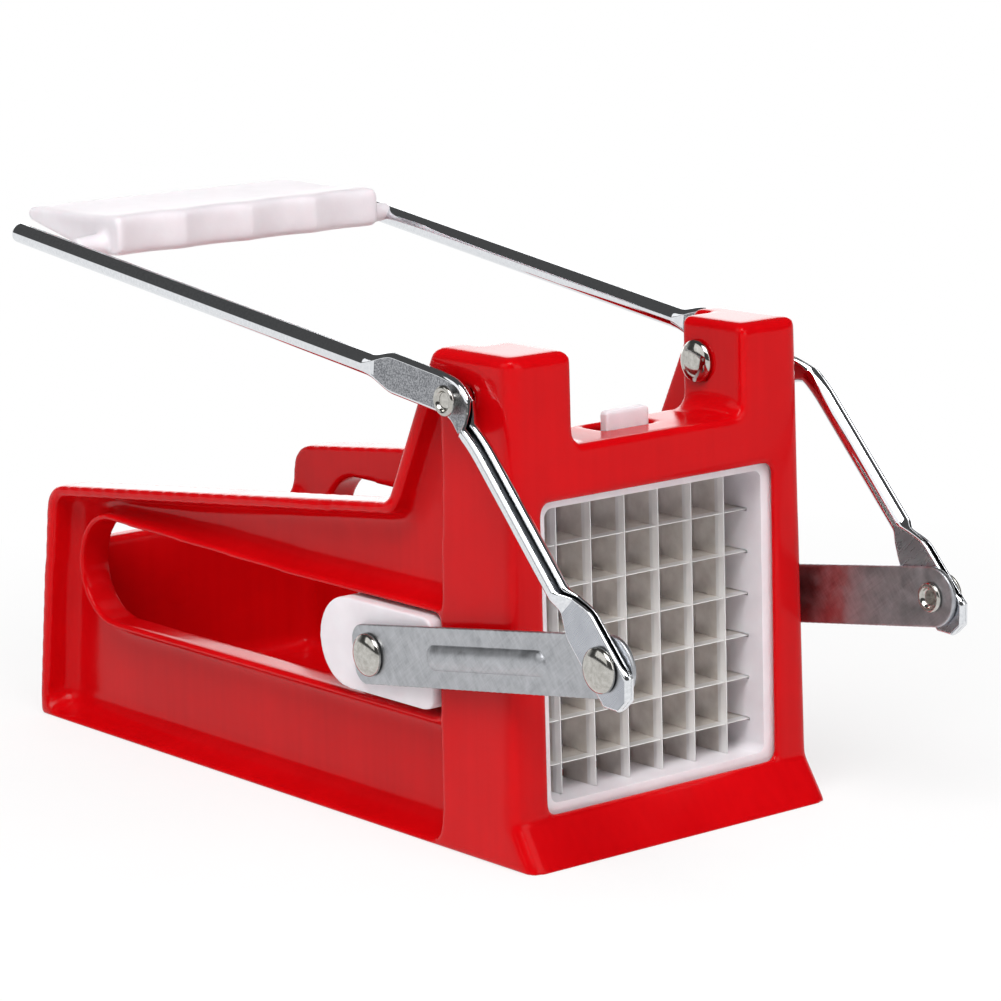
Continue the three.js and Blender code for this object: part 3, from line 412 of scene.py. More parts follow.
def places_of(mesh):
    """The mesh's points as an array."""
    places = np.empty(len(mesh.vertices) * 3)
    mesh.vertices.foreach_get("co", places)
    return places.reshape(-1, 3)


def put_places(mesh, places):
    """Writes the points back."""
    mesh.vertices.foreach_set("co", places.astype(np.float32).ravel())
    mesh.update()


def eased(mesh, rounds, fillets, voxel):
    """Rounds the mesh: all edges for some rounds, then only the inside corners, as fillets."""
    step_share = 0.5  # of the way to the middle of its neighbours, which a point goes in a round
    least_hollow, rounds_a_normal = 0.015 * voxel, 8
    places = places_of(mesh)
    count = len(places)
    ends = np.empty(len(mesh.edges) * 2, int)
    mesh.edges.foreach_get("vertices", ends)
    first, second = ends.reshape(-1, 2).T
    degree = np.bincount(np.concatenate([first, second]), minlength=count)[:, None]
    normals = None
    for step in range(rounds + fillets):
        total = np.stack(
            [
                np.bincount(first, places[second, k], count) + np.bincount(second, places[first, k], count)
                for k in range(3)
            ],
            1,
        )
        pull = total / degree - places
        if step >= rounds:
            if (step - rounds) % rounds_a_normal == 0:
                put_places(mesh, places)
                normals = np.empty(count * 3)
                mesh.vertices.foreach_get("normal", normals)
                normals = normals.reshape(-1, 3)
            hollow = np.einsum("ij,ij->i", pull, normals) > least_hollow
            pull *= hollow[:, None]
        places = places + step_share * pull
    put_places(mesh, places)


def moulded(name, mesh, make, voxel, rounds, fillets, keep):
    """A moulding from a sharp mesh: remeshed, edges rounded, corners filleted, then thinned out."""
    piece = new_piece(name, mesh, make)
    remesh = piece.modifiers.new("Remesh", "REMESH")
    remesh.mode = "VOXEL"
    remesh.voxel_size = voxel
    applied(piece)
    eased(piece.data, rounds, fillets, voxel)
    thin = piece.modifiers.new("Decimate", "DECIMATE")
    thin.ratio = keep
    applied(piece)
    piece.data.materials.clear()
    piece.data.materials.append(shared(make))
    piece.data.shade_smooth()
    weigh(piece)
    return piece


def weigh(piece, weight=90):
    """Normals that follow the large faces, so that flats stay flat beside rounded edges."""
    weighted = piece.modifiers.new("WeightedNormal", "WEIGHTED_NORMAL")
    weighted.weight = weight
    applied(piece)


def chamfered(name, node, make, width):
    """A node's own shape with its flats joined and its edges broken."""
    level, crease = math.radians(0.5), math.radians(35)
    mesh = copied(name, node)
    made = bmesh.new()
    made.from_mesh(mesh)
    bmesh.ops.dissolve_limit(
        made, angle_limit=level, verts=made.verts, edges=made.edges, delimit={"NORMAL"}
    )
    made.to_mesh(mesh)
    made.free()
    piece = new_piece(name, mesh, make)
    bevel = piece.modifiers.new("Bevel", "BEVEL")
    bevel.width = width
    bevel.segments = 2
    bevel.limit_method = "ANGLE"
    bevel.angle_limit = crease
    bevel.harden_normals = False
    applied(piece)
    piece.data.shade_smooth()
    weigh(piece)
    return piece


def placed(piece, body, node):
    """Puts a piece on its body in place of its node."""
    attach(piece, body)
    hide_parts(node)


def dressed(node, make):
    """Gives a node that keeps its shape its material."""
    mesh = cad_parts[node].data
    mesh.materials.clear()
    mesh.materials.append(shared(make))


def turned(name, profile, centre, make):
    """A body turned about a line along Y through a point; the profile holds radii and y places."""
    steps = 64
    places = []
    rings = []
    for radius, y in profile:
        if radius == 0:
            rings.append([len(places)])
            places.append((centre.x, y, centre.z))
            continue
        rings.append(list(range(len(places), len(places) + steps)))
        for step in range(steps):
            angle = 2 * math.pi * step / steps
            x, z = centre.x + radius * math.cos(angle), centre.z + radius * math.sin(angle)
            places.append((x, y, z))
    faces = []
    for near, far in zip(rings, rings[1:]):
        for step in range(steps):
            after = (step + 1) % steps
            if len(near) == 1:
                faces.append((near[0], far[after], far[step]))
            elif len(far) == 1:
                faces.append((near[step], near[after], far[0]))
            else:
                faces.append((near[step], near[after], far[after], far[step]))
    if len(rings[0]) > 1 and len(rings[-1]) > 1:
        for step in range(steps):
            after = (step + 1) % steps
            faces.append((rings[-1][step], rings[-1][after], rings[0][after], rings[0][step]))
    piece = new_piece(name, mesh_of(name, places, faces), make)
    piece.data.shade_smooth()
    weigh(piece)
    return piece


# Sizes that a user would change


def length(name, description, size, least=0.0):
    """A property that holds a length."""
    return FloatProperty(name=name, description=description, default=size, min=least, unit="LENGTH")


def tint(name, description, code):
    """A property that holds a colour, given as sRGB hex."""
    return FloatVectorProperty(name=name, description=description, default=linear(code), subtype="COLOR")


class SlicerPlastics(bpy.types.PropertyGroup):
    """Mouldings: their colours and how soft their edges are."""

    red_deep: tint("Deep red", "The red of the moulding in its darker streaks", "#BC0309")
    red_light: tint("Light red", "The red of the moulding in its lighter streaks", "#CC060D")
    white_shade: tint("White, shaded", "The white mouldings' darker tone", "#E0D9DE")
    white_light: tint("White", "The white mouldings' lighter tone", "#ECE7EB")
    blade_inset: length("Blade inset", "Front plate's face to the blades", 9 * MM)
    blade_bevel: length("Blade bevel", "Width of a blade's ground edge", 3.2 * MM)
    body_grain: length("Body grain", "Size of the faces from which the stand is made", 0.7 * MM, 0.3 * MM)
    small_grain: length(
        "Small grain", "Size of the faces from which small mouldings are made", 0.4 * MM, 0.2 * MM
    )
    edge_rounds: IntProperty(
        name="Edge rounding", description="How many times the outer edges are eased", default=12, min=0
    )
    fillet_rounds: IntProperty(
        name="Fillet rounding", description="How many times the inside corners are filled", default=130, min=0
    )


class SlicerLevers(bpy.types.PropertyGroup):
    """Levers: the rolled tube, its bend and its flattened ends."""

    tube_width: length("Tube", "Tube diameter", 6.2 * MM)
    wall: length("Wall", "Sheet thickness", 1.1 * MM)
    seam: length("Seam", "Open seam of the lower arm", 1.5 * MM)
    bend_radius: length("Bend radius", "Radius of the bend", 45 * MM)
    rear_depth: length("Rear end", "Front plate to the rear end", 229 * MM)
    rear_rise: length("Rear rise", "Pivot up to the rear end", 28.4 * MM)
    corner_depth: length("Corner depth", "Front plate to where the lines of the arms cross", 9.9 * MM)
    corner_drop: length("Corner drop", "Pivot down to where the lines of the arms cross", 0.5 * MM)
    paddle_thickness: length("Paddle thickness", "Thickness of the flattened ends", 3 * MM)
    pivot_width: length("Pivot paddle", "Width at the pivot", 11.6 * MM)
    link_width: length("Link paddle", "Width at the link", 14 * MM)
    flatten_run: length("Flattening", "Length over which the tube goes flat", 12 * MM)
    pivot_rear: length("Paddle, rear", "Pivot to the round upper arm", 38 * MM)
    pivot_front: length("Paddle, front", "Pivot to the round lower arm", 14.5 * MM)
    link_length: length("Link paddle length", "Round lower arm to the link", 24 * MM)
    front_run: length("Fold", "Length over which the pivot paddle closes to the lower arm", 8 * MM)
    arch_run: length("Arch", "Length over which the link paddle gets thin", 4.5 * MM)
    slit: length("Slit", "Open seam along the link paddle", 1.5 * MM)
    link_tip: length("Link tip", "Link to the tip", 11.3 * MM)
    tip_chamfer: length("Tip chamfer", "Chamfer of the tip's corners", 4 * MM)
    bead_start: length("Bead start", "Pusher rivet to the bead", 27 * MM)
    bead_end: length("Bead end", "Pusher rivet to the bead's far end", 79 * MM)
    bead_width: length("Bead", "Width of the bead", 7 * MM)
    bead_rise: length("Bead rise", "Height of the bead", 1.4 * MM)
    splay: length("Splay", "How far the rear end stands out", 4.3 * MM)


class SlicerGrip(bpy.types.PropertyGroup):
    """Grip: its section and its finger scallops."""

    front: length("Front", "Front plate to the wavy front", 191 * MM)
    depth: length("Depth", "Front to rear", 53 * MM)
    half: length("Half length", "Middle plane to its end", 49 * MM)
    rise: length("Rise", "Lever line up to the middle of the front", 5.6 * MM)
    front_thickness: length("Front thickness", "Height of the front", 12.8 * MM)
    rear_thickness: length("Rear thickness", "Height of the rear edge", 5 * MM)
    rear_rise: length("Rear rise", "Lever line up to the rear edge's top", 4.4 * MM)
    dish: length("Dish", "Hollow of the top", 1 * MM)
    scallops: IntProperty(name="Scallops", description="Number of finger scallops", default=4, min=1)
    scallop_depth: length("Scallop depth", "Depth of a scallop", 2.0 * MM)
    neck_length: length("Neck", "Length of a neck", 10.3 * MM)
    neck_width: length("Neck width", "Width of a neck at the grip", 7.4 * MM)
    neck_inset: length("Neck inset", "Grip's front to the neck's axis", 9.5 * MM)
    neck_rise: length("Neck rise", "Lever line up to the neck's axis", 1.4 * MM)


class SlicerRivets(bpy.types.PropertyGroup):
    """Rivets and washers."""

    dome_width: length("Dome", "Width of a head", 12.3 * MM)
    dome_rise: length("Dome rise", "Height of a head", 2.6 * MM)
    shank: length("Shank", "Width of the shank", 4.4 * MM)
    tail_width: length("Tail", "Width of a rolled tail", 8.5 * MM)
    tail_rise: length("Tail rise", "Height of a tail", 1 * MM)


class SlicerStage(bpy.types.PropertyGroup):
    """Stage: floor, backdrop, lamps and camera."""

    key_power: FloatProperty(
        name="Key", description="Power of the key lamp", default=4.5, min=0.0, unit="POWER"
    )
    fill_power: FloatProperty(
        name="Fill", description="Power of the fill lamp", default=5.0, min=0.0, unit="POWER"
    )
    top_power: FloatProperty(
        name="Top", description="Power of the top lamp", default=21.0, min=0.0, unit="POWER"
    )
    rear_power: FloatProperty(
        name="Rear", description="Power of the lamp behind the object", default=9.0, min=0.0, unit="POWER"
    )
    sky_level: FloatProperty(
        name="Backdrop", description="Brightness of the white sweep", default=1.0, min=0.0
    )
    room_level: FloatProperty(
        name="Room", description="Brightness of the room above the sweep", default=0.08, min=0.0
    )
    lens: FloatProperty(
        name="Lens", description="Focal length on a 36 mm sensor", default=134.116, min=1.0, unit="CAMERA"
    )
    camera_place: FloatVectorProperty(
        name="Camera place",
        description="Where the camera stands",
        default=(0.85198, -0.6552, 0.29217),
        subtype="TRANSLATION",
        unit="LENGTH",
    )
    camera_turn: FloatVectorProperty(
        name="Camera turn",
        description="How the camera is turned",
        default=tuple(math.radians(a) for a in (78.887, 1.562, 51.384)),
        subtype="EULER",
        unit="ROTATION",
    )


# The lever's line


class LeverLine:
    """The lever's centre line in side view, and its middle plane, by the distance past the pivot."""

    def __init__(self, sizes, inner, link_inner):
        self.sizes = sizes
        half_sheet = sizes.paddle_thickness / 2
        self.pivot_y = inner + half_sheet
        self.link_y = link_inner + half_sheet
        pivot = np.array([PIVOT.x, PIVOT.z])
        link = np.array([LINK.x, LINK.z])
        self.end = np.array([FACE - sizes.rear_depth, PIVOT.z + sizes.rear_rise])
        corner = np.array([FACE - sizes.corner_depth, PIVOT.z - sizes.corner_drop])
        self.along = (corner - self.end) / np.linalg.norm(corner - self.end)
        self.down = (link - corner) / np.linalg.norm(link - corner)
        self.angle = math.acos(float(self.along @ self.down))
        run = sizes.bend_radius * math.tan(self.angle / 2)
        self.upper = np.linalg.norm(corner - self.end) - run
        self.lower = self.upper + sizes.bend_radius * self.angle
        self.start = self.end + self.along * self.upper
        self.finish = corner + self.down * run
        inward = np.array([self.along[1], -self.along[0]])
        self.centre = self.start + inward * sizes.bend_radius
        spoke = self.start - self.centre
        toward = pivot - self.centre
        turn = math.atan2(spoke[1], spoke[0]) - math.atan2(toward[1], toward[0])
        self.zero = self.upper + sizes.bend_radius * turn
        self.rear = -self.zero
        self.total = self.lower + np.linalg.norm(link - self.finish) - self.zero

    def at(self, distance):
        """Place and heading in side view."""
        s = distance + self.zero
        if s <= self.upper:
            return self.end + self.along * s, self.along
        if s >= self.lower:
            return self.finish + self.down * (s - self.lower), self.down
        turn = (self.upper - s) / self.sizes.bend_radius
        cos, sin = math.cos(turn), math.sin(turn)
        spin = np.array([[cos, -sin], [sin, cos]])
        return self.centre + spin @ (self.start - self.centre), spin @ self.along

    def height_at(self, x):
        """Height of the straight upper arm at a place along X."""
        return self.end[1] + (x - self.end[0]) * self.along[1] / self.along[0]

    def out(self, distance):
        """The middle plane's place along Y."""
        sizes = self.sizes
        if distance < -sizes.pivot_rear:
            share = (distance + sizes.pivot_rear) / (self.rear + sizes.pivot_rear)
            return self.pivot_y + share * sizes.splay
        arm = self.link_y + (sizes.tube_width - sizes.paddle_thickness) / 2
        to_arm = ramp(distance, sizes.pivot_front - sizes.front_run, sizes.pivot_front)
        link_start = self.total - sizes.link_length
        to_link = smooth(ramp(distance, link_start, link_start + sizes.arch_run))
        leaned = self.pivot_y + (arm - self.pivot_y) * to_arm
        return leaned + (self.link_y - leaned) * to_link


def ramp(value, start, end):
    """Rises evenly from 0 at start to 1 at end."""
    return min(1.0, max(0.0, (value - start) / (end - start)))


def smooth(share):
    """Eases a share in and out."""
    return share * share * (3 - 2 * share)


def lever_line():
    """The left lever's line."""
    sizes = bpy.context.scene.slicer_levers
    return LeverLine(sizes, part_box("lever_left")[0].y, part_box("link_rivet_left")[0].y)


# Operators, one for each piece or group of pieces


class SLICER_OT_stand(bpy.types.Operator):
    """Moulds the red stand"""

    bl_idname = "slicer.stand"
    bl_label = "Stand"

    def execute(self, context):
        look = context.scene.slicer_plastics
        mesh = copied("stand_moulding", "body")
        self.thin_foot(mesh)
        piece = moulded(
            "stand_moulding",
            mesh,
            red_abs,
            voxel=look.body_grain,
            rounds=look.edge_rounds,
            fillets=look.fillet_rounds,
            keep=0.25,
        )
        placed(piece, "stand", "body")
        return {"FINISHED"}

    @staticmethod
    def thin_foot(mesh):
        """Thins the foot flanges towards their outer edges, and takes off the columns' small ledge."""
        flange, slope, thinning, edge = 3 * MM, 5.3 * MM, 1.7 * MM, 0.8 * MM
        rear_margin, front_margin = 4 * MM, 30 * MM  # the ends of the side walls stay as they are
        ledge_height, ledge_out, column_out, column_depth = 93.6 * MM, 52.3 * MM, 52.28 * MM, 33 * MM
        near = 0.1 * MM
        places = places_of(mesh)
        low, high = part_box("body")
        x, out, over = places[:, 0], np.abs(places[:, 1]), places[:, 2] - flange
        beside = (x > low.x + rear_margin) & (x < FACE - front_margin)
        lip = (out > high.y - edge) & beside & (over > -near) & (over < slope)
        ledge = (np.abs(places[:, 2] - ledge_height) < near) & (out > ledge_out) & (x > FACE - column_depth)
        places[:, 2] -= np.where(lip, thinning * (1 - over / slope), 0)
        places[:, 1] = np.where(ledge, np.sign(places[:, 1]) * column_out, places[:, 1])
        put_places(mesh, places)


class SLICER_OT_cartridge(bpy.types.Operator):
    """Makes the blade frame, the blades and the release tab"""

    bl_idname = "slicer.cartridge"
    bl_label = "Cartridge"

    def execute(self, context):
        look = context.scene.slicer_plastics
        rim = chamfered("blade_frame", "cartridge_frame", white_hdpe, width=0.3 * MM)
        placed(rim, "stand", "cartridge_frame")
        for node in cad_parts:
            if "_blade_" in node:
                dressed(node, blade_steel)
        mesh = copied("latch_tab", "release_tab")
        tab = moulded("latch_tab", mesh, white_hdpe, voxel=look.small_grain, rounds=3, fillets=0, keep=0.5)
        placed(tab, "tab", "release_tab")
        return {"FINISHED"}


class SLICER_OT_pusher(bpy.types.Operator):
    """Makes the pusher's carrier, its peg plate and the two slide blocks"""

    bl_idname = "slicer.pusher"
    bl_label = "Pusher"

    def execute(self, context):
        look = context.scene.slicer_plastics
        carrier = chamfered("pusher_plate", "pusher_carrier", white_hdpe, width=0.5 * MM)
        placed(carrier, "pusher", "pusher_carrier")
        pegs = chamfered("push_pegs", "peg_plate", white_hdpe, width=0.8 * MM)
        placed(pegs, "pusher", "peg_plate")
        for side in SIDES:
            node = f"slider_ear_{side}"
            mesh = copied(node + "_copy", node)
            block = moulded(
                f"slide_block_{side}", mesh, white_hdpe, voxel=look.small_grain, rounds=5, fillets=0, keep=0.4
            )
            self.lengthen(block.data, node)
            placed(block, "pusher", node)
        return {"FINISHED"}

    @staticmethod
    def lengthen(mesh, node):
        """Draws the front of a slide block's outer part forward, inside the slot's width."""
        run, shift = 8 * MM, 3.8 * MM
        outer_face, blend = 46 * MM, 1 * MM  # from the middle plane, where the outer part starts
        places = places_of(mesh)
        past = (places[:, 0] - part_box(node)[1].x + run) / run
        proud = (np.abs(places[:, 1]) - outer_face) / blend
        places[:, 0] += shift * np.clip(past, 0, 1) * np.clip(proud, 0, 1)
        put_places(mesh, places)


class SLICER_OT_straps(bpy.types.Operator):
    """Presses the two connecting straps"""

    bl_idname = "slicer.straps"
    bl_label = "Straps"

    def execute(self, context):
        for side in SIDES:
            node = f"strap_{side}"
            mesh = copied(node + "_copy", node)
            piece = moulded(
                f"pressed_strap_{side}", mesh, galvanised, voxel=0.35 * MM, rounds=1, fillets=6, keep=0.5
            )
            self.emboss(context.scene.slicer_levers, piece.data, node)
            placed(piece, node, node)
        return {"FINISHED"}

    @staticmethod
    def emboss(sizes, mesh, node):
        """Rounds the embossed bead, which the part has as a flat-topped one."""
        reach = 0.3 * MM
        fullness = 0.7  # of the bead's section, where 0.5 is round
        low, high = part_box(node)
        face = max(abs(low.y), abs(high.y)) - sizes.bead_rise
        places = places_of(mesh)
        along = Vector((LINK.x - PIN.x, 0, LINK.z - PIN.z)).normalized()
        half = sizes.bead_width / 2
        away = places[:, [0, 2]] - (PIN.x, PIN.z)
        run = away @ (along.x, along.z)
        across = away @ (-along.z, along.x)
        past = np.maximum(sizes.bead_start + half - run, run - sizes.bead_end + half)
        share = np.hypot(across, np.maximum(past, 0)) / half
        raised = face + sizes.bead_rise * np.maximum(1 - share**2, 0) ** fullness
        outer = np.abs(places[:, 1]) > face - reach
        places[:, 1] = np.where(outer, np.sign(places[:, 1]) * raised, places[:, 1])
        put_places(mesh, places)


class SLICER_OT_levers(bpy.types.Operator):
    """Rolls the two levers and flattens their ends"""

    bl_idname = "slicer.levers"
    bl_label = "Levers"

    outer_steps, inner_steps = 44, 20  # round the outside and the inside of a section
    finishes = (chrome_plate, pressed_plate, satin_plate, tube_inside_painted_shade)
    hidden = finishes.index(tube_inside_painted_shade)

    def execute(self, context):
        sizes = context.scene.slicer_levers
        least_flat = 0.985  # how squarely a face looks to the side where a die pressed it
        line = lever_line()
        stations = self.stations(line, sizes)
        rings = [self.ring(line, sizes, distance) for distance in stations]
        count = len(rings[0])
        places = [p for ring in rings for p in ring]
        faces = []
        kinds = []
        outside = self.outer_steps + 1
        for row in range(len(rings) - 1):
            kind = self.kind(line, sizes, (stations[row] + stations[row + 1]) / 2)
            for side in range(count):
                after = (side + 1) % count
                base = row * count
                faces.append((base + side, base + after, base + count + after, base + count + side))
                # The inside faces get the darkened steel: painted shade in the tube's hollow
                kinds.append(self.hidden if outside <= side < count - 1 else kind)
        last = (len(rings) - 1) * count
        faces.append(tuple(range(count)))
        faces.append(tuple(range(last, last + count)))
        kinds += [0, 0]
        for side, sign in SIDES.items():
            name = f"rolled_lever_{side}"
            mesh = mesh_of(name, [(x, sign * y, z) for x, y, z in places], faces)
            piece = new_piece(name, mesh, *self.finishes)
            for face, kind in zip(mesh.polygons, kinds):
                flat = abs(face.normal.y) > least_flat
                face.material_index = kind if flat or kind == self.hidden else 0
            mesh.shade_smooth()
            weigh(piece, 60)
            placed(piece, "lever", f"lever_{side}")
        return {"FINISHED"}

    @staticmethod
    def stations(line, sizes):
        """Distances of the rings: each mark has the space between rings after it, small at changes."""
        tip = line.total + sizes.link_tip
        link_start = line.total - sizes.link_length
        marks = [
            (line.rear, 0.4 * MM),
            (line.rear + 1 * MM, 12 * MM),
            (-sizes.pivot_rear, 0.75 * MM),
            (sizes.flatten_run - sizes.pivot_rear, 1.6 * MM),
            (sizes.pivot_front - sizes.front_run, 0.5 * MM),
            (sizes.pivot_front, 1.6 * MM),
            (line.lower - line.zero, 5 * MM),
            (link_start, 0.4 * MM),
            (link_start + sizes.arch_run, 0.75 * MM),
            (link_start + sizes.flatten_run, 1.5 * MM),
            (tip - sizes.tip_chamfer, 0.5 * MM),
            (tip, None),
        ]
        marks = sorted(marks, key=lambda mark: mark[0])
        found = []
        for (start, step), (end, _) in zip(marks, marks[1:]):
            parts = max(1, round((end - start) / step))
            found += [start + (end - start) * k / parts for k in range(parts)]
        found.append(tip)
        return found

    @staticmethod
    def shape(line, sizes, distance):
        """Width, thickness, seam width, turn and curl of the seam, and drop, at a distance."""
        closed_gap, seam_turn = 0.06 * MM, math.radians(32)
        opening_start, opening_end = 2 * MM, 16 * MM  # past the pivot
        closing_start, closing_end = 8 * MM, 5 * MM  # short of the tip
        lean_run = 8 * MM  # past the pivot, where the paddle comes to lie below the arm's line
        taper = 0.98  # of a chamfer at 45 degrees
        press = 2.4  # how soon the pivot paddle gets thin
        tip = line.total + sizes.link_tip
        run = sizes.flatten_run
        link_start = line.total - sizes.link_length
        to_pivot = ramp(distance, -sizes.pivot_rear, run - sizes.pivot_rear)
        from_pivot = ramp(distance, sizes.pivot_front, sizes.pivot_front - sizes.front_run)
        flat = min(to_pivot, from_pivot) if distance < sizes.pivot_front else 0.0
        width = sizes.pivot_width
        thin = 1 - (1 - flat) ** press
        slit = sizes.seam
        if distance > link_start:
            flat = ramp(distance, link_start, link_start + run)
            width = sizes.link_width
            thin = smooth(ramp(distance, link_start, link_start + sizes.arch_run))
            slit += (sizes.slit - sizes.seam) * thin
        wide = smooth(flat)
        full = sizes.tube_width + (width - sizes.tube_width) * wide
        full -= 2 * max(0.0, distance - (tip - sizes.tip_chamfer)) * taper
        thick = sizes.tube_width + (sizes.paddle_thickness - sizes.tube_width) * thin
        opened = smooth(ramp(distance, opening_start, opening_end))
        closed = smooth(ramp(distance, tip - closing_start, tip - closing_end))
        curl = opened * (1 - closed)
        gap = closed_gap + (slit - closed_gap) * opened * (1 - closed)
        turn = seam_turn * (1 - wide) * opened
        lean = smooth(ramp(distance, 0, lean_run)) if distance < link_start else 0.0
        drop = (full - sizes.tube_width) / 2 * lean
        return full, thick, gap, turn, curl, drop

    @classmethod
    def ring(cls, line, sizes, distance):
        """One section: the outside from lip to lip, then the inside back."""
        wall_share, tip_wall_share = 0.52, 0.96  # most of the radius that the wall takes, and at the tip
        widest_sine = 0.9  # of half the seam's angle
        lip, tuck_share = math.radians(34), 0.3  # the lips curl in by this share of the radius
        crowding = 0.045  # draws the points together at the lips
        width, thick, gap, turn, curl, drop = cls.shape(line, sizes, distance)
        half, radius = (width - thick) / 2, thick / 2
        wall = min(sizes.wall, radius * wall_share)
        if distance > line.total:
            wall += (radius * tip_wall_share - wall) * (1 - curl)
        open_angle = math.asin(min(widest_sine, (gap / 2) / radius))
        outside = []
        for step in range(cls.outer_steps + 1):
            share = step / cls.outer_steps
            share -= crowding * math.sin(2 * math.pi * share)
            angle = turn + open_angle + (2 * math.pi - 2 * open_angle) * share
            near = min(share, 1 - share) * (2 * math.pi - 2 * open_angle)
            tuck = curl * tuck_share * max(0.0, 1 - near / lip) ** 2
            reach = radius * (1 - tuck)
            across = math.cos(angle) * reach + math.copysign(half, math.cos(angle))
            outside.append((across, math.sin(angle) * reach))
        inside = []
        core = radius - wall
        inner_open = math.asin(min(widest_sine, (gap / 2) / core))
        for step in range(cls.inner_steps + 1):
            angle = turn - inner_open - (2 * math.pi - 2 * inner_open) * step / cls.inner_steps
            across = math.cos(angle) * core + math.copysign(half, math.cos(angle))
            inside.append((across, math.sin(angle) * core))
        point, heading = line.at(distance)
        middle = line.out(distance)
        return [
            (
                point[0] - heading[1] * (across - drop),
                middle + out,
                point[1] + heading[0] * (across - drop),
            )
            for across, out in outside + inside
        ]

    @classmethod
    def kind(cls, line, sizes, distance):
        """Which of the finishes the flat sides have: bright, from the coarse die or from the smooth die."""
        if -sizes.pivot_rear < distance < sizes.pivot_front:
            return cls.finishes.index(pressed_plate)
        if distance > line.total - sizes.link_length:
            return cls.finishes.index(satin_plate)
        return 0


class SLICER_OT_grip(bpy.types.Operator):
    """Moulds the grip and its two necks over the cross rod"""

    bl_idname = "slicer.grip"
    bl_label = "Grip"

    def execute(self, context):
        sizes = context.scene.slicer_grip
        line = lever_line()
        steps, round_off, end_inset = 96, 1.5 * MM, 0.75 * MM
        neck_steps, neck_taper, neck_overlap, neck_sunk = 48, 0.3 * MM, 2 * MM, 1.3 * MM
        rings = []
        for step in range(steps + 1):
            y = sizes.half * (2 * step / steps - 1)
            inset = end_inset * max(0.0, 1 - (sizes.half - abs(y)) / round_off) ** 2
            rings.append(self.section(line, sizes, y, inset))
        count = len(rings[0])
        places = [p for ring in rings for p in ring]
        faces = [
            (
                row * count + side,
                row * count + (side + 1) % count,
                (row + 1) * count + (side + 1) % count,
                (row + 1) * count + side,
            )
            for row in range(steps)
            for side in range(count)
        ]
        faces.append(tuple(range(count)))
        faces.append(tuple(range(steps * count, (steps + 1) * count)))
        mesh = mesh_of("grip_sharp", places, faces)
        made = bmesh.new()
        made.from_mesh(mesh)
        axis_x = FACE - sizes.front - sizes.neck_inset
        axis_z = line.height_at(axis_x) + sizes.neck_rise
        tube = context.scene.slicer_levers.tube_width
        for sign in (1, -1):
            cone = bmesh.ops.create_cone(
                made,
                cap_ends=True,
                segments=neck_steps,
                radius1=sizes.neck_width / 2,
                radius2=tube / 2 - neck_taper,
                depth=sizes.neck_length + neck_overlap,
            )
            turn = Euler((-sign * math.pi / 2, 0, 0)).to_matrix()
            bmesh.ops.rotate(made, verts=cone["verts"], matrix=turn)
            away = sizes.half + sizes.neck_length / 2 - neck_sunk
            bmesh.ops.translate(made, verts=cone["verts"], vec=(axis_x, sign * away, axis_z))
        made.to_mesh(mesh)
        made.free()
        piece = moulded("moulded_grip", mesh, white_hdpe, voxel=0.5 * MM, rounds=16, fillets=10, keep=0.45)
        placed(piece, "lever", "grip")
        dressed("grip_rod", zinc_rivet)
        return {"FINISHED"}

    @staticmethod
    def section(line, sizes, y, inset):
        """The grip's closed section at a place along Y, with its corners cut round."""
        cut_share, upright_share = 0.2, 0.75  # of a side that a cut takes off, of the front that is upright
        wave = abs(math.sin(math.pi * sizes.scallops * (y + sizes.half) / (2 * sizes.half)))
        front = FACE - sizes.front - inset - sizes.scallop_depth * wave
        rear = FACE - sizes.front - sizes.depth + inset
        front_z = line.height_at(FACE - sizes.front) + sizes.rise
        rear_z = line.height_at(FACE - sizes.front - sizes.depth) + sizes.rear_rise
        rear_z -= sizes.rear_thickness / 2
        thick = sizes.front_thickness / 2 - inset
        thin = sizes.rear_thickness / 2 - inset / 2
        ease = (rear - front) / 24  # run of the slants beside the upright faces
        dish_z = front_z + thick + (rear_z + thin - front_z - thick) / 3 - sizes.dish
        belly = FACE - sizes.front - sizes.neck_inset - sizes.neck_width
        corners = [
            (front, front_z - thick * upright_share),
            (front, front_z + thick * upright_share),
            (front + ease, front_z + thick),
            (FACE - sizes.front - sizes.depth / 3, dish_z),  # the dish, a third of the way back
            (rear - ease, rear_z + thin),
            (rear, rear_z + thin / 2),
            (rear, rear_z - thin / 2),
            (rear - ease, rear_z - thin),
            (belly, front_z - thick),
            (front + ease, front_z - thick),
        ]
        for _ in range(2):
            cut = []
            for (ax, az), (bx, bz) in zip(corners, corners[1:] + corners[:1]):
                for share in (cut_share, 1 - cut_share):
                    cut.append(((1 - share) * ax + share * bx, (1 - share) * az + share * bz))
            corners = cut
        return [(x, y, z) for x, z in corners]


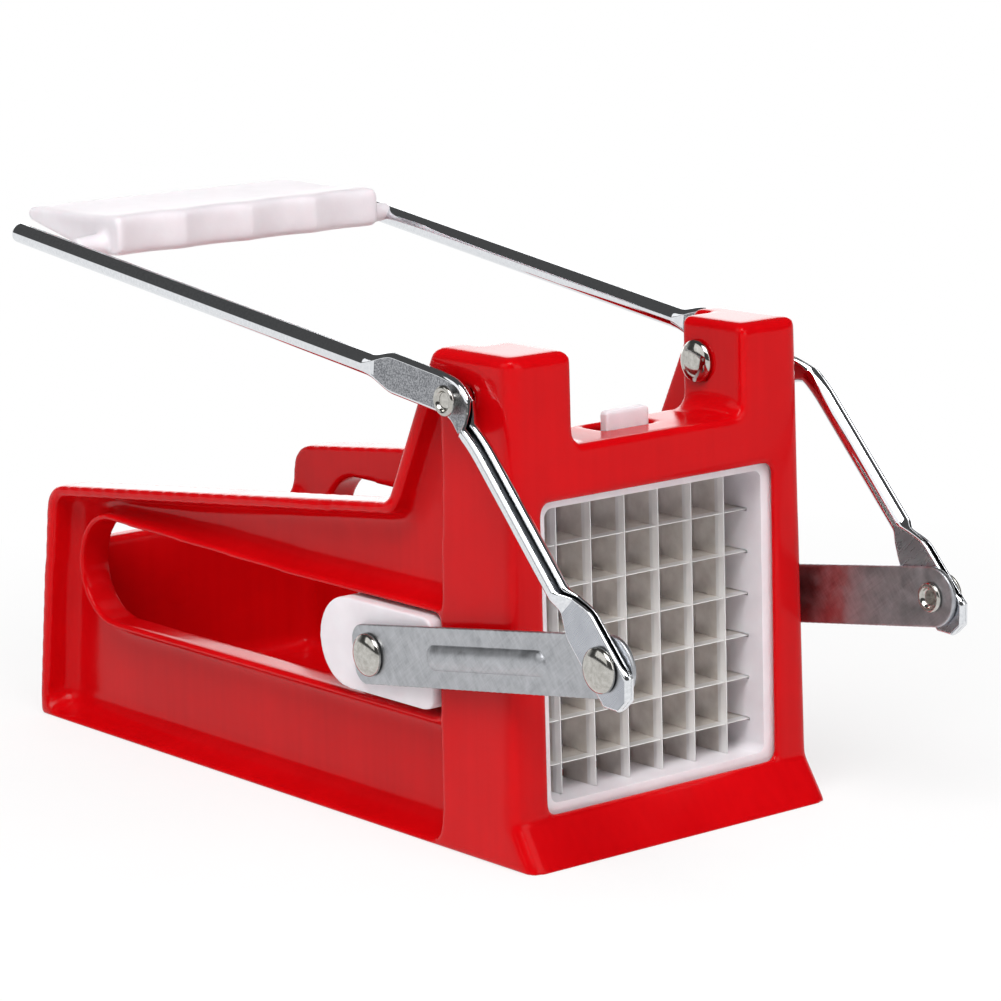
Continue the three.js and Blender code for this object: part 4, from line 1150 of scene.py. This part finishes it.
class SLICER_OT_rivets(bpy.types.Operator):
    """Turns the rivets and the washers"""

    bl_idname = "slicer.rivets"
    bl_label = "Rivets"

    def execute(self, context):
        sizes = context.scene.slicer_rivets
        for side in SIDES:
            self.pivot(sizes, side)
            self.pusher(sizes, side)
            self.link(sizes, side)
            self.pivot_washer(sizes, side)
            self.link_washer(sizes, side)
        return {"FINISHED"}

    @staticmethod
    def dome(sizes, rim, sense):
        """Profile of a pan-shaped dome from its rim out to its middle."""
        half = sizes.dome_width / 2
        edge, under, steps = 0.45 * MM, 0.15 * MM, 14
        fullness = 0.9  # under 1 for a dome with fuller shoulders than a round one
        points = [(half - under, rim), (half, rim + sense * edge / 2)]
        for step in range(1, steps + 1):
            angle = math.pi / 2 * step / steps
            radius = 0.0 if step == steps else half * math.cos(angle) ** fullness
            points.append((radius, rim + sense * (edge + (sizes.dome_rise - edge) * math.sin(angle))))
        return points

    @staticmethod
    def tail(sizes, base, sense):
        """Profile of a rolled-over tail: a rounded rim round a dimple."""
        half, rise = sizes.tail_width / 2, sizes.tail_rise
        shares = [(1, 0), (1, 0.35), (0.96, 0.7), (0.88, 0.93), (0.78, 1), (0.7, 0.9), (0.64, 0.6)]
        shares += [(0.6, 0.15), (0.54, -0.05), (0.3, 0.0), (0, 0.03)]
        return [(half * r, base + sense * rise * h) for r, h in shares]

    @staticmethod
    def reach(node):
        """How near to the middle plane and how far from it a node's box lies."""
        low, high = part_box(node)
        return sorted((abs(low.y), abs(high.y)))

    @staticmethod
    def add(body, node, slot, profile):
        """Turns a profile, given by distance from the middle plane, and puts it in place of its node."""
        middle = middle_of(node)
        sign = math.copysign(1, middle.y)
        piece = turned(node + "_turned", [(r, sign * y) for r, y in profile], middle, zinc_rivet)
        placed(piece, body, node)

    def pivot(self, sizes, side):
        """Rivet that carries a lever: head inside the tower, tail outside."""
        near, far = self.reach(f"pivot_rivet_{side}")
        near, far = near + sizes.dome_rise, far - sizes.tail_rise
        profile = self.dome(sizes, near, -1)[::-1] + [(sizes.shank / 2, near), (sizes.shank / 2, far)]
        self.add("stand", f"pivot_rivet_{side}", "rivet_steel", profile + self.tail(sizes, far, 1))

    def pusher(self, sizes, side):
        """Rivet that joins a strap to its slide block: tail inside, head outside."""
        near, far = self.reach(f"pusher_rivet_{side}")
        near, far = near + sizes.tail_rise, far - sizes.dome_rise
        profile = self.tail(sizes, near, -1)[::-1] + [(sizes.shank / 2, near), (sizes.shank / 2, far)]
        self.add("pusher", f"pusher_rivet_{side}", "rivet_steel", profile + self.dome(sizes, far, 1))

    def link(self, sizes, side):
        """Rivet that joins a lever to its strap: head outside, cut flat inside."""
        near, far = self.reach(f"link_rivet_{side}")
        far -= sizes.dome_rise
        profile = [(0.0, near), (sizes.shank / 2, near), (sizes.shank / 2, far)]
        self.add("lever", f"link_rivet_{side}", "rivet_steel", profile + self.dome(sizes, far, 1))

    def pivot_washer(self, sizes, side):
        """Spacer washer between a tower and its lever."""
        node = f"pivot_washer_{side}"
        play, ease = 0.3 * MM, 0.35 * MM
        low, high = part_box(node)
        bore, half = sizes.shank / 2 + play, (high.x - low.x) / 2
        near, far = self.reach(node)
        profile = [
            (bore, near + ease),
            (bore + ease, near),
            (half - ease, near),
            (half, near + ease),
            (half, far - ease),
            (half - ease, far),
            (bore + ease, far),
            (bore, far - ease),
        ]
        self.add("stand", node, "galvanised_strip", profile)

    def link_washer(self, sizes, side):
        """The link's washer on the inner side of its strap."""
        near, far = self.reach(f"link_washer_{side}")
        near += sizes.tail_rise
        profile = self.tail(sizes, near, -1)[::-1]
        profile += [(sizes.shank / 2, near), (sizes.shank / 2, far), (0.0, far)]
        self.add(f"strap_{side}", f"link_washer_{side}", "rivet_steel", profile)


class SLICER_OT_stage(bpy.types.Operator):
    """Sets up the floor, the backdrop, the lamps and the camera"""

    bl_idname = "slicer.stage"
    bl_label = "Stage"

    # Place, width and height of each lamp, all turned to the middle of the object
    lamps = {
        "key": ((-0.3, -1.25, 0.8), 1.4, 0.9),
        "fill": ((1.4, 0.3, 0.7), 0.9, 0.9),
        "top": ((0.6, -0.55, 1.25), 1.1, 0.8),
        "rear": ((-1.3, 1.05, 0.4), 2.6, 0.8),
    }
    middle = (0, 0, 0.07)

    def execute(self, context):
        sizes = context.scene.slicer_stage
        context.scene.view_settings.view_transform = "Standard"
        self.floor(context)
        self.backdrop(context, sizes)
        for name, (place, width, height) in self.lamps.items():
            light = bpy.data.lights.new(f"{name}_lamp", "AREA")
            light.shape = "RECTANGLE"
            light.size, light.size_y = width, height
            light.energy = getattr(sizes, f"{name}_power")
            lamp = bpy.data.objects.new(f"{name}_lamp", light)
            lamp.location = place
            aim = Vector(self.middle) - Vector(place)
            lamp.rotation_euler = aim.to_track_quat("-Z", "Y").to_euler()
            context.scene.collection.objects.link(lamp)
        camera = bpy.data.cameras.new("camera")
        camera.sensor_width = 36.0
        camera.lens = sizes.lens
        camera.clip_start, camera.clip_end = 0.05, 50.0
        eye = bpy.data.objects.new("camera", camera)
        eye.location = sizes.camera_place
        eye.rotation_euler = sizes.camera_turn
        context.scene.collection.objects.link(eye)
        context.scene.camera = eye
        return {"FINISHED"}

    @staticmethod
    def floor(context):
        """A wide white floor: it fades to the white backdrop and keeps the shadow near the object."""
        reach, fade_start, fade_end, near_share, far_share = 12.0, 0.1, 0.4, 0.7, 1.0
        corners = [(-reach, -reach, 0), (reach, -reach, 0), (reach, reach, 0), (-reach, reach, 0)]
        mesh = mesh_of("floor", corners, [(0, 1, 2, 3)])
        material, tree = new_material("floor_paper")
        grain = blotches(tree, [40 * MM] * 3, detail=2.0)
        rough = add_node(tree, "ShaderNodeMapRange", {"To Min": 0.7, "To Max": 0.8}, {"Value": grain})
        paper = add_node(
            tree,
            "ShaderNodeBsdfPrincipled",
            links={
                "Base Color": two_toned(tree, grain, 0.0, 1.0, linear("#F7F7F7"), linear("#FBFBFB")),
                "Roughness": rough.outputs["Result"],
            },
        )
        white = add_node(tree, "ShaderNodeEmission", {"Color": (1, 1, 1, 1), "Strength": 1.0})
        place = add_node(tree, "ShaderNodeTexCoord").outputs["Object"]
        away = add_node(tree, "ShaderNodeVectorMath", {"operation": "LENGTH"}, {0: place})
        far = add_node(
            tree,
            "ShaderNodeMapRange",
            {"From Min": fade_start, "From Max": fade_end, "To Min": near_share, "To Max": far_share},
            {"Value": away.outputs["Value"]},
        ).outputs["Result"]
        rays = add_node(tree, "ShaderNodeLightPath").outputs
        seen = rays["Is Camera Ray"]
        for ray in ("Is Glossy Ray", "Is Transmission Ray"):
            more = add_node(tree, "ShaderNodeMath", {"operation": "MAXIMUM"}, {0: seen, 1: rays[ray]})
            seen = more.outputs[0]
        share = add_node(tree, "ShaderNodeMath", {"operation": "MULTIPLY"}, {0: far, 1: seen})
        both = add_node(
            tree,
            "ShaderNodeMixShader",
            links={0: share.outputs[0], 1: paper.outputs[0], 2: white.outputs[0]},
        )
        add_node(tree, "ShaderNodeOutputMaterial", links={"Surface": both.outputs[0]})
        mesh.materials.append(material)
        floor = bpy.data.objects.new("floor", mesh)
        context.scene.collection.objects.link(floor)

    @staticmethod
    def backdrop(context, sizes):
        """A white rim round the floor, a white sweep behind the object up to some height, a dim room."""
        rim_top, rim_end, sweep_top, sweep_end = 0.05, 0.08, 0.24, 0.42  # heights on a unit sphere
        width_start, width_end = 0.35, 0.75  # how squarely behind the object the sweep begins and is full
        world = bpy.data.worlds.new("studio")
        world.use_nodes = True
        tree = world.node_tree
        tree.nodes.clear()
        place = add_node(tree, "ShaderNodeTexCoord").outputs["Generated"]
        height = add_node(tree, "ShaderNodeSeparateXYZ", links={"Vector": place}).outputs["Z"]
        squarely = add_node(
            tree, "ShaderNodeVectorMath", {"operation": "DOT_PRODUCT", 1: BEHIND}, {0: place}
        ).outputs["Value"]
        low, behind, rim = (
            add_node(
                tree,
                "ShaderNodeMapRange",
                {"From Min": start, "From Max": end, "To Min": first, "To Max": 1 - first},
                {"Value": value},
            ).outputs["Result"]
            for value, start, end, first in (
                (height, sweep_top, sweep_end, 1.0),
                (squarely, width_start, width_end, 0.0),
                (height, rim_top, rim_end, 1.0),
            )
        )
        sweep = add_node(tree, "ShaderNodeMath", {"operation": "MULTIPLY"}, {0: low, 1: behind}).outputs[0]
        share = add_node(tree, "ShaderNodeMath", {"operation": "MAXIMUM"}, {0: sweep, 1: rim}).outputs[0]
        level = add_node(
            tree,
            "ShaderNodeMapRange",
            {"To Min": sizes.room_level, "To Max": sizes.sky_level},
            {"Value": share},
        ).outputs["Result"]
        soft = add_node(tree, "ShaderNodeBackground", {"Color": (1, 1, 1, 1)}, {"Strength": level})
        add_node(tree, "ShaderNodeOutputWorld", links={"Surface": soft.outputs[0]})
        context.scene.world = world


class SLICER_PT_panel(bpy.types.Panel):
    """Lists the pieces in the sidebar"""

    bl_idname = "SLICER_PT_panel"
    bl_label = "Potato slicer"
    bl_space_type = "VIEW_3D"
    bl_region_type = "UI"
    bl_category = "Slicer"

    def draw(self, context):
        for group, operators in GROUPS:
            box = self.layout.box()
            sizes = getattr(context.scene, group)
            for name in sizes.__annotations__:
                box.prop(sizes, name)
            for operator in operators:
                box.operator(operator.bl_idname)


GROUPS = (
    ("slicer_plastics", (SLICER_OT_stand, SLICER_OT_cartridge, SLICER_OT_pusher)),
    ("slicer_levers", (SLICER_OT_straps, SLICER_OT_levers)),
    ("slicer_grip", (SLICER_OT_grip,)),
    ("slicer_rivets", (SLICER_OT_rivets,)),
    ("slicer_stage", (SLICER_OT_stage,)),
)
PROPERTIES = {
    "slicer_plastics": SlicerPlastics,
    "slicer_levers": SlicerLevers,
    "slicer_grip": SlicerGrip,
    "slicer_rivets": SlicerRivets,
    "slicer_stage": SlicerStage,
}


def register():
    """Registers the property groups, the operators and the panel."""
    for group in PROPERTIES.values():
        bpy.utils.register_class(group)
    for _, operators in GROUPS:
        for operator in operators:
            bpy.utils.register_class(operator)
    bpy.utils.register_class(SLICER_PT_panel)
    for name, group in PROPERTIES.items():
        setattr(bpy.types.Scene, name, PointerProperty(type=group))


def unregister():
    """Takes them back out."""
    for name in PROPERTIES:
        delattr(bpy.types.Scene, name)
    bpy.utils.unregister_class(SLICER_PT_panel)
    for _, operators in GROUPS:
        for operator in operators:
            bpy.utils.unregister_class(operator)
    for group in PROPERTIES.values():
        bpy.utils.unregister_class(group)


def main():
    register()
    bpy.ops.slicer.stage()
    bpy.ops.slicer.stand()
    bpy.ops.slicer.cartridge()
    bpy.ops.slicer.pusher()
    bpy.ops.slicer.straps()
    bpy.ops.slicer.levers()
    bpy.ops.slicer.grip()
    bpy.ops.slicer.rivets()


if __name__ == "__main__":
    main()
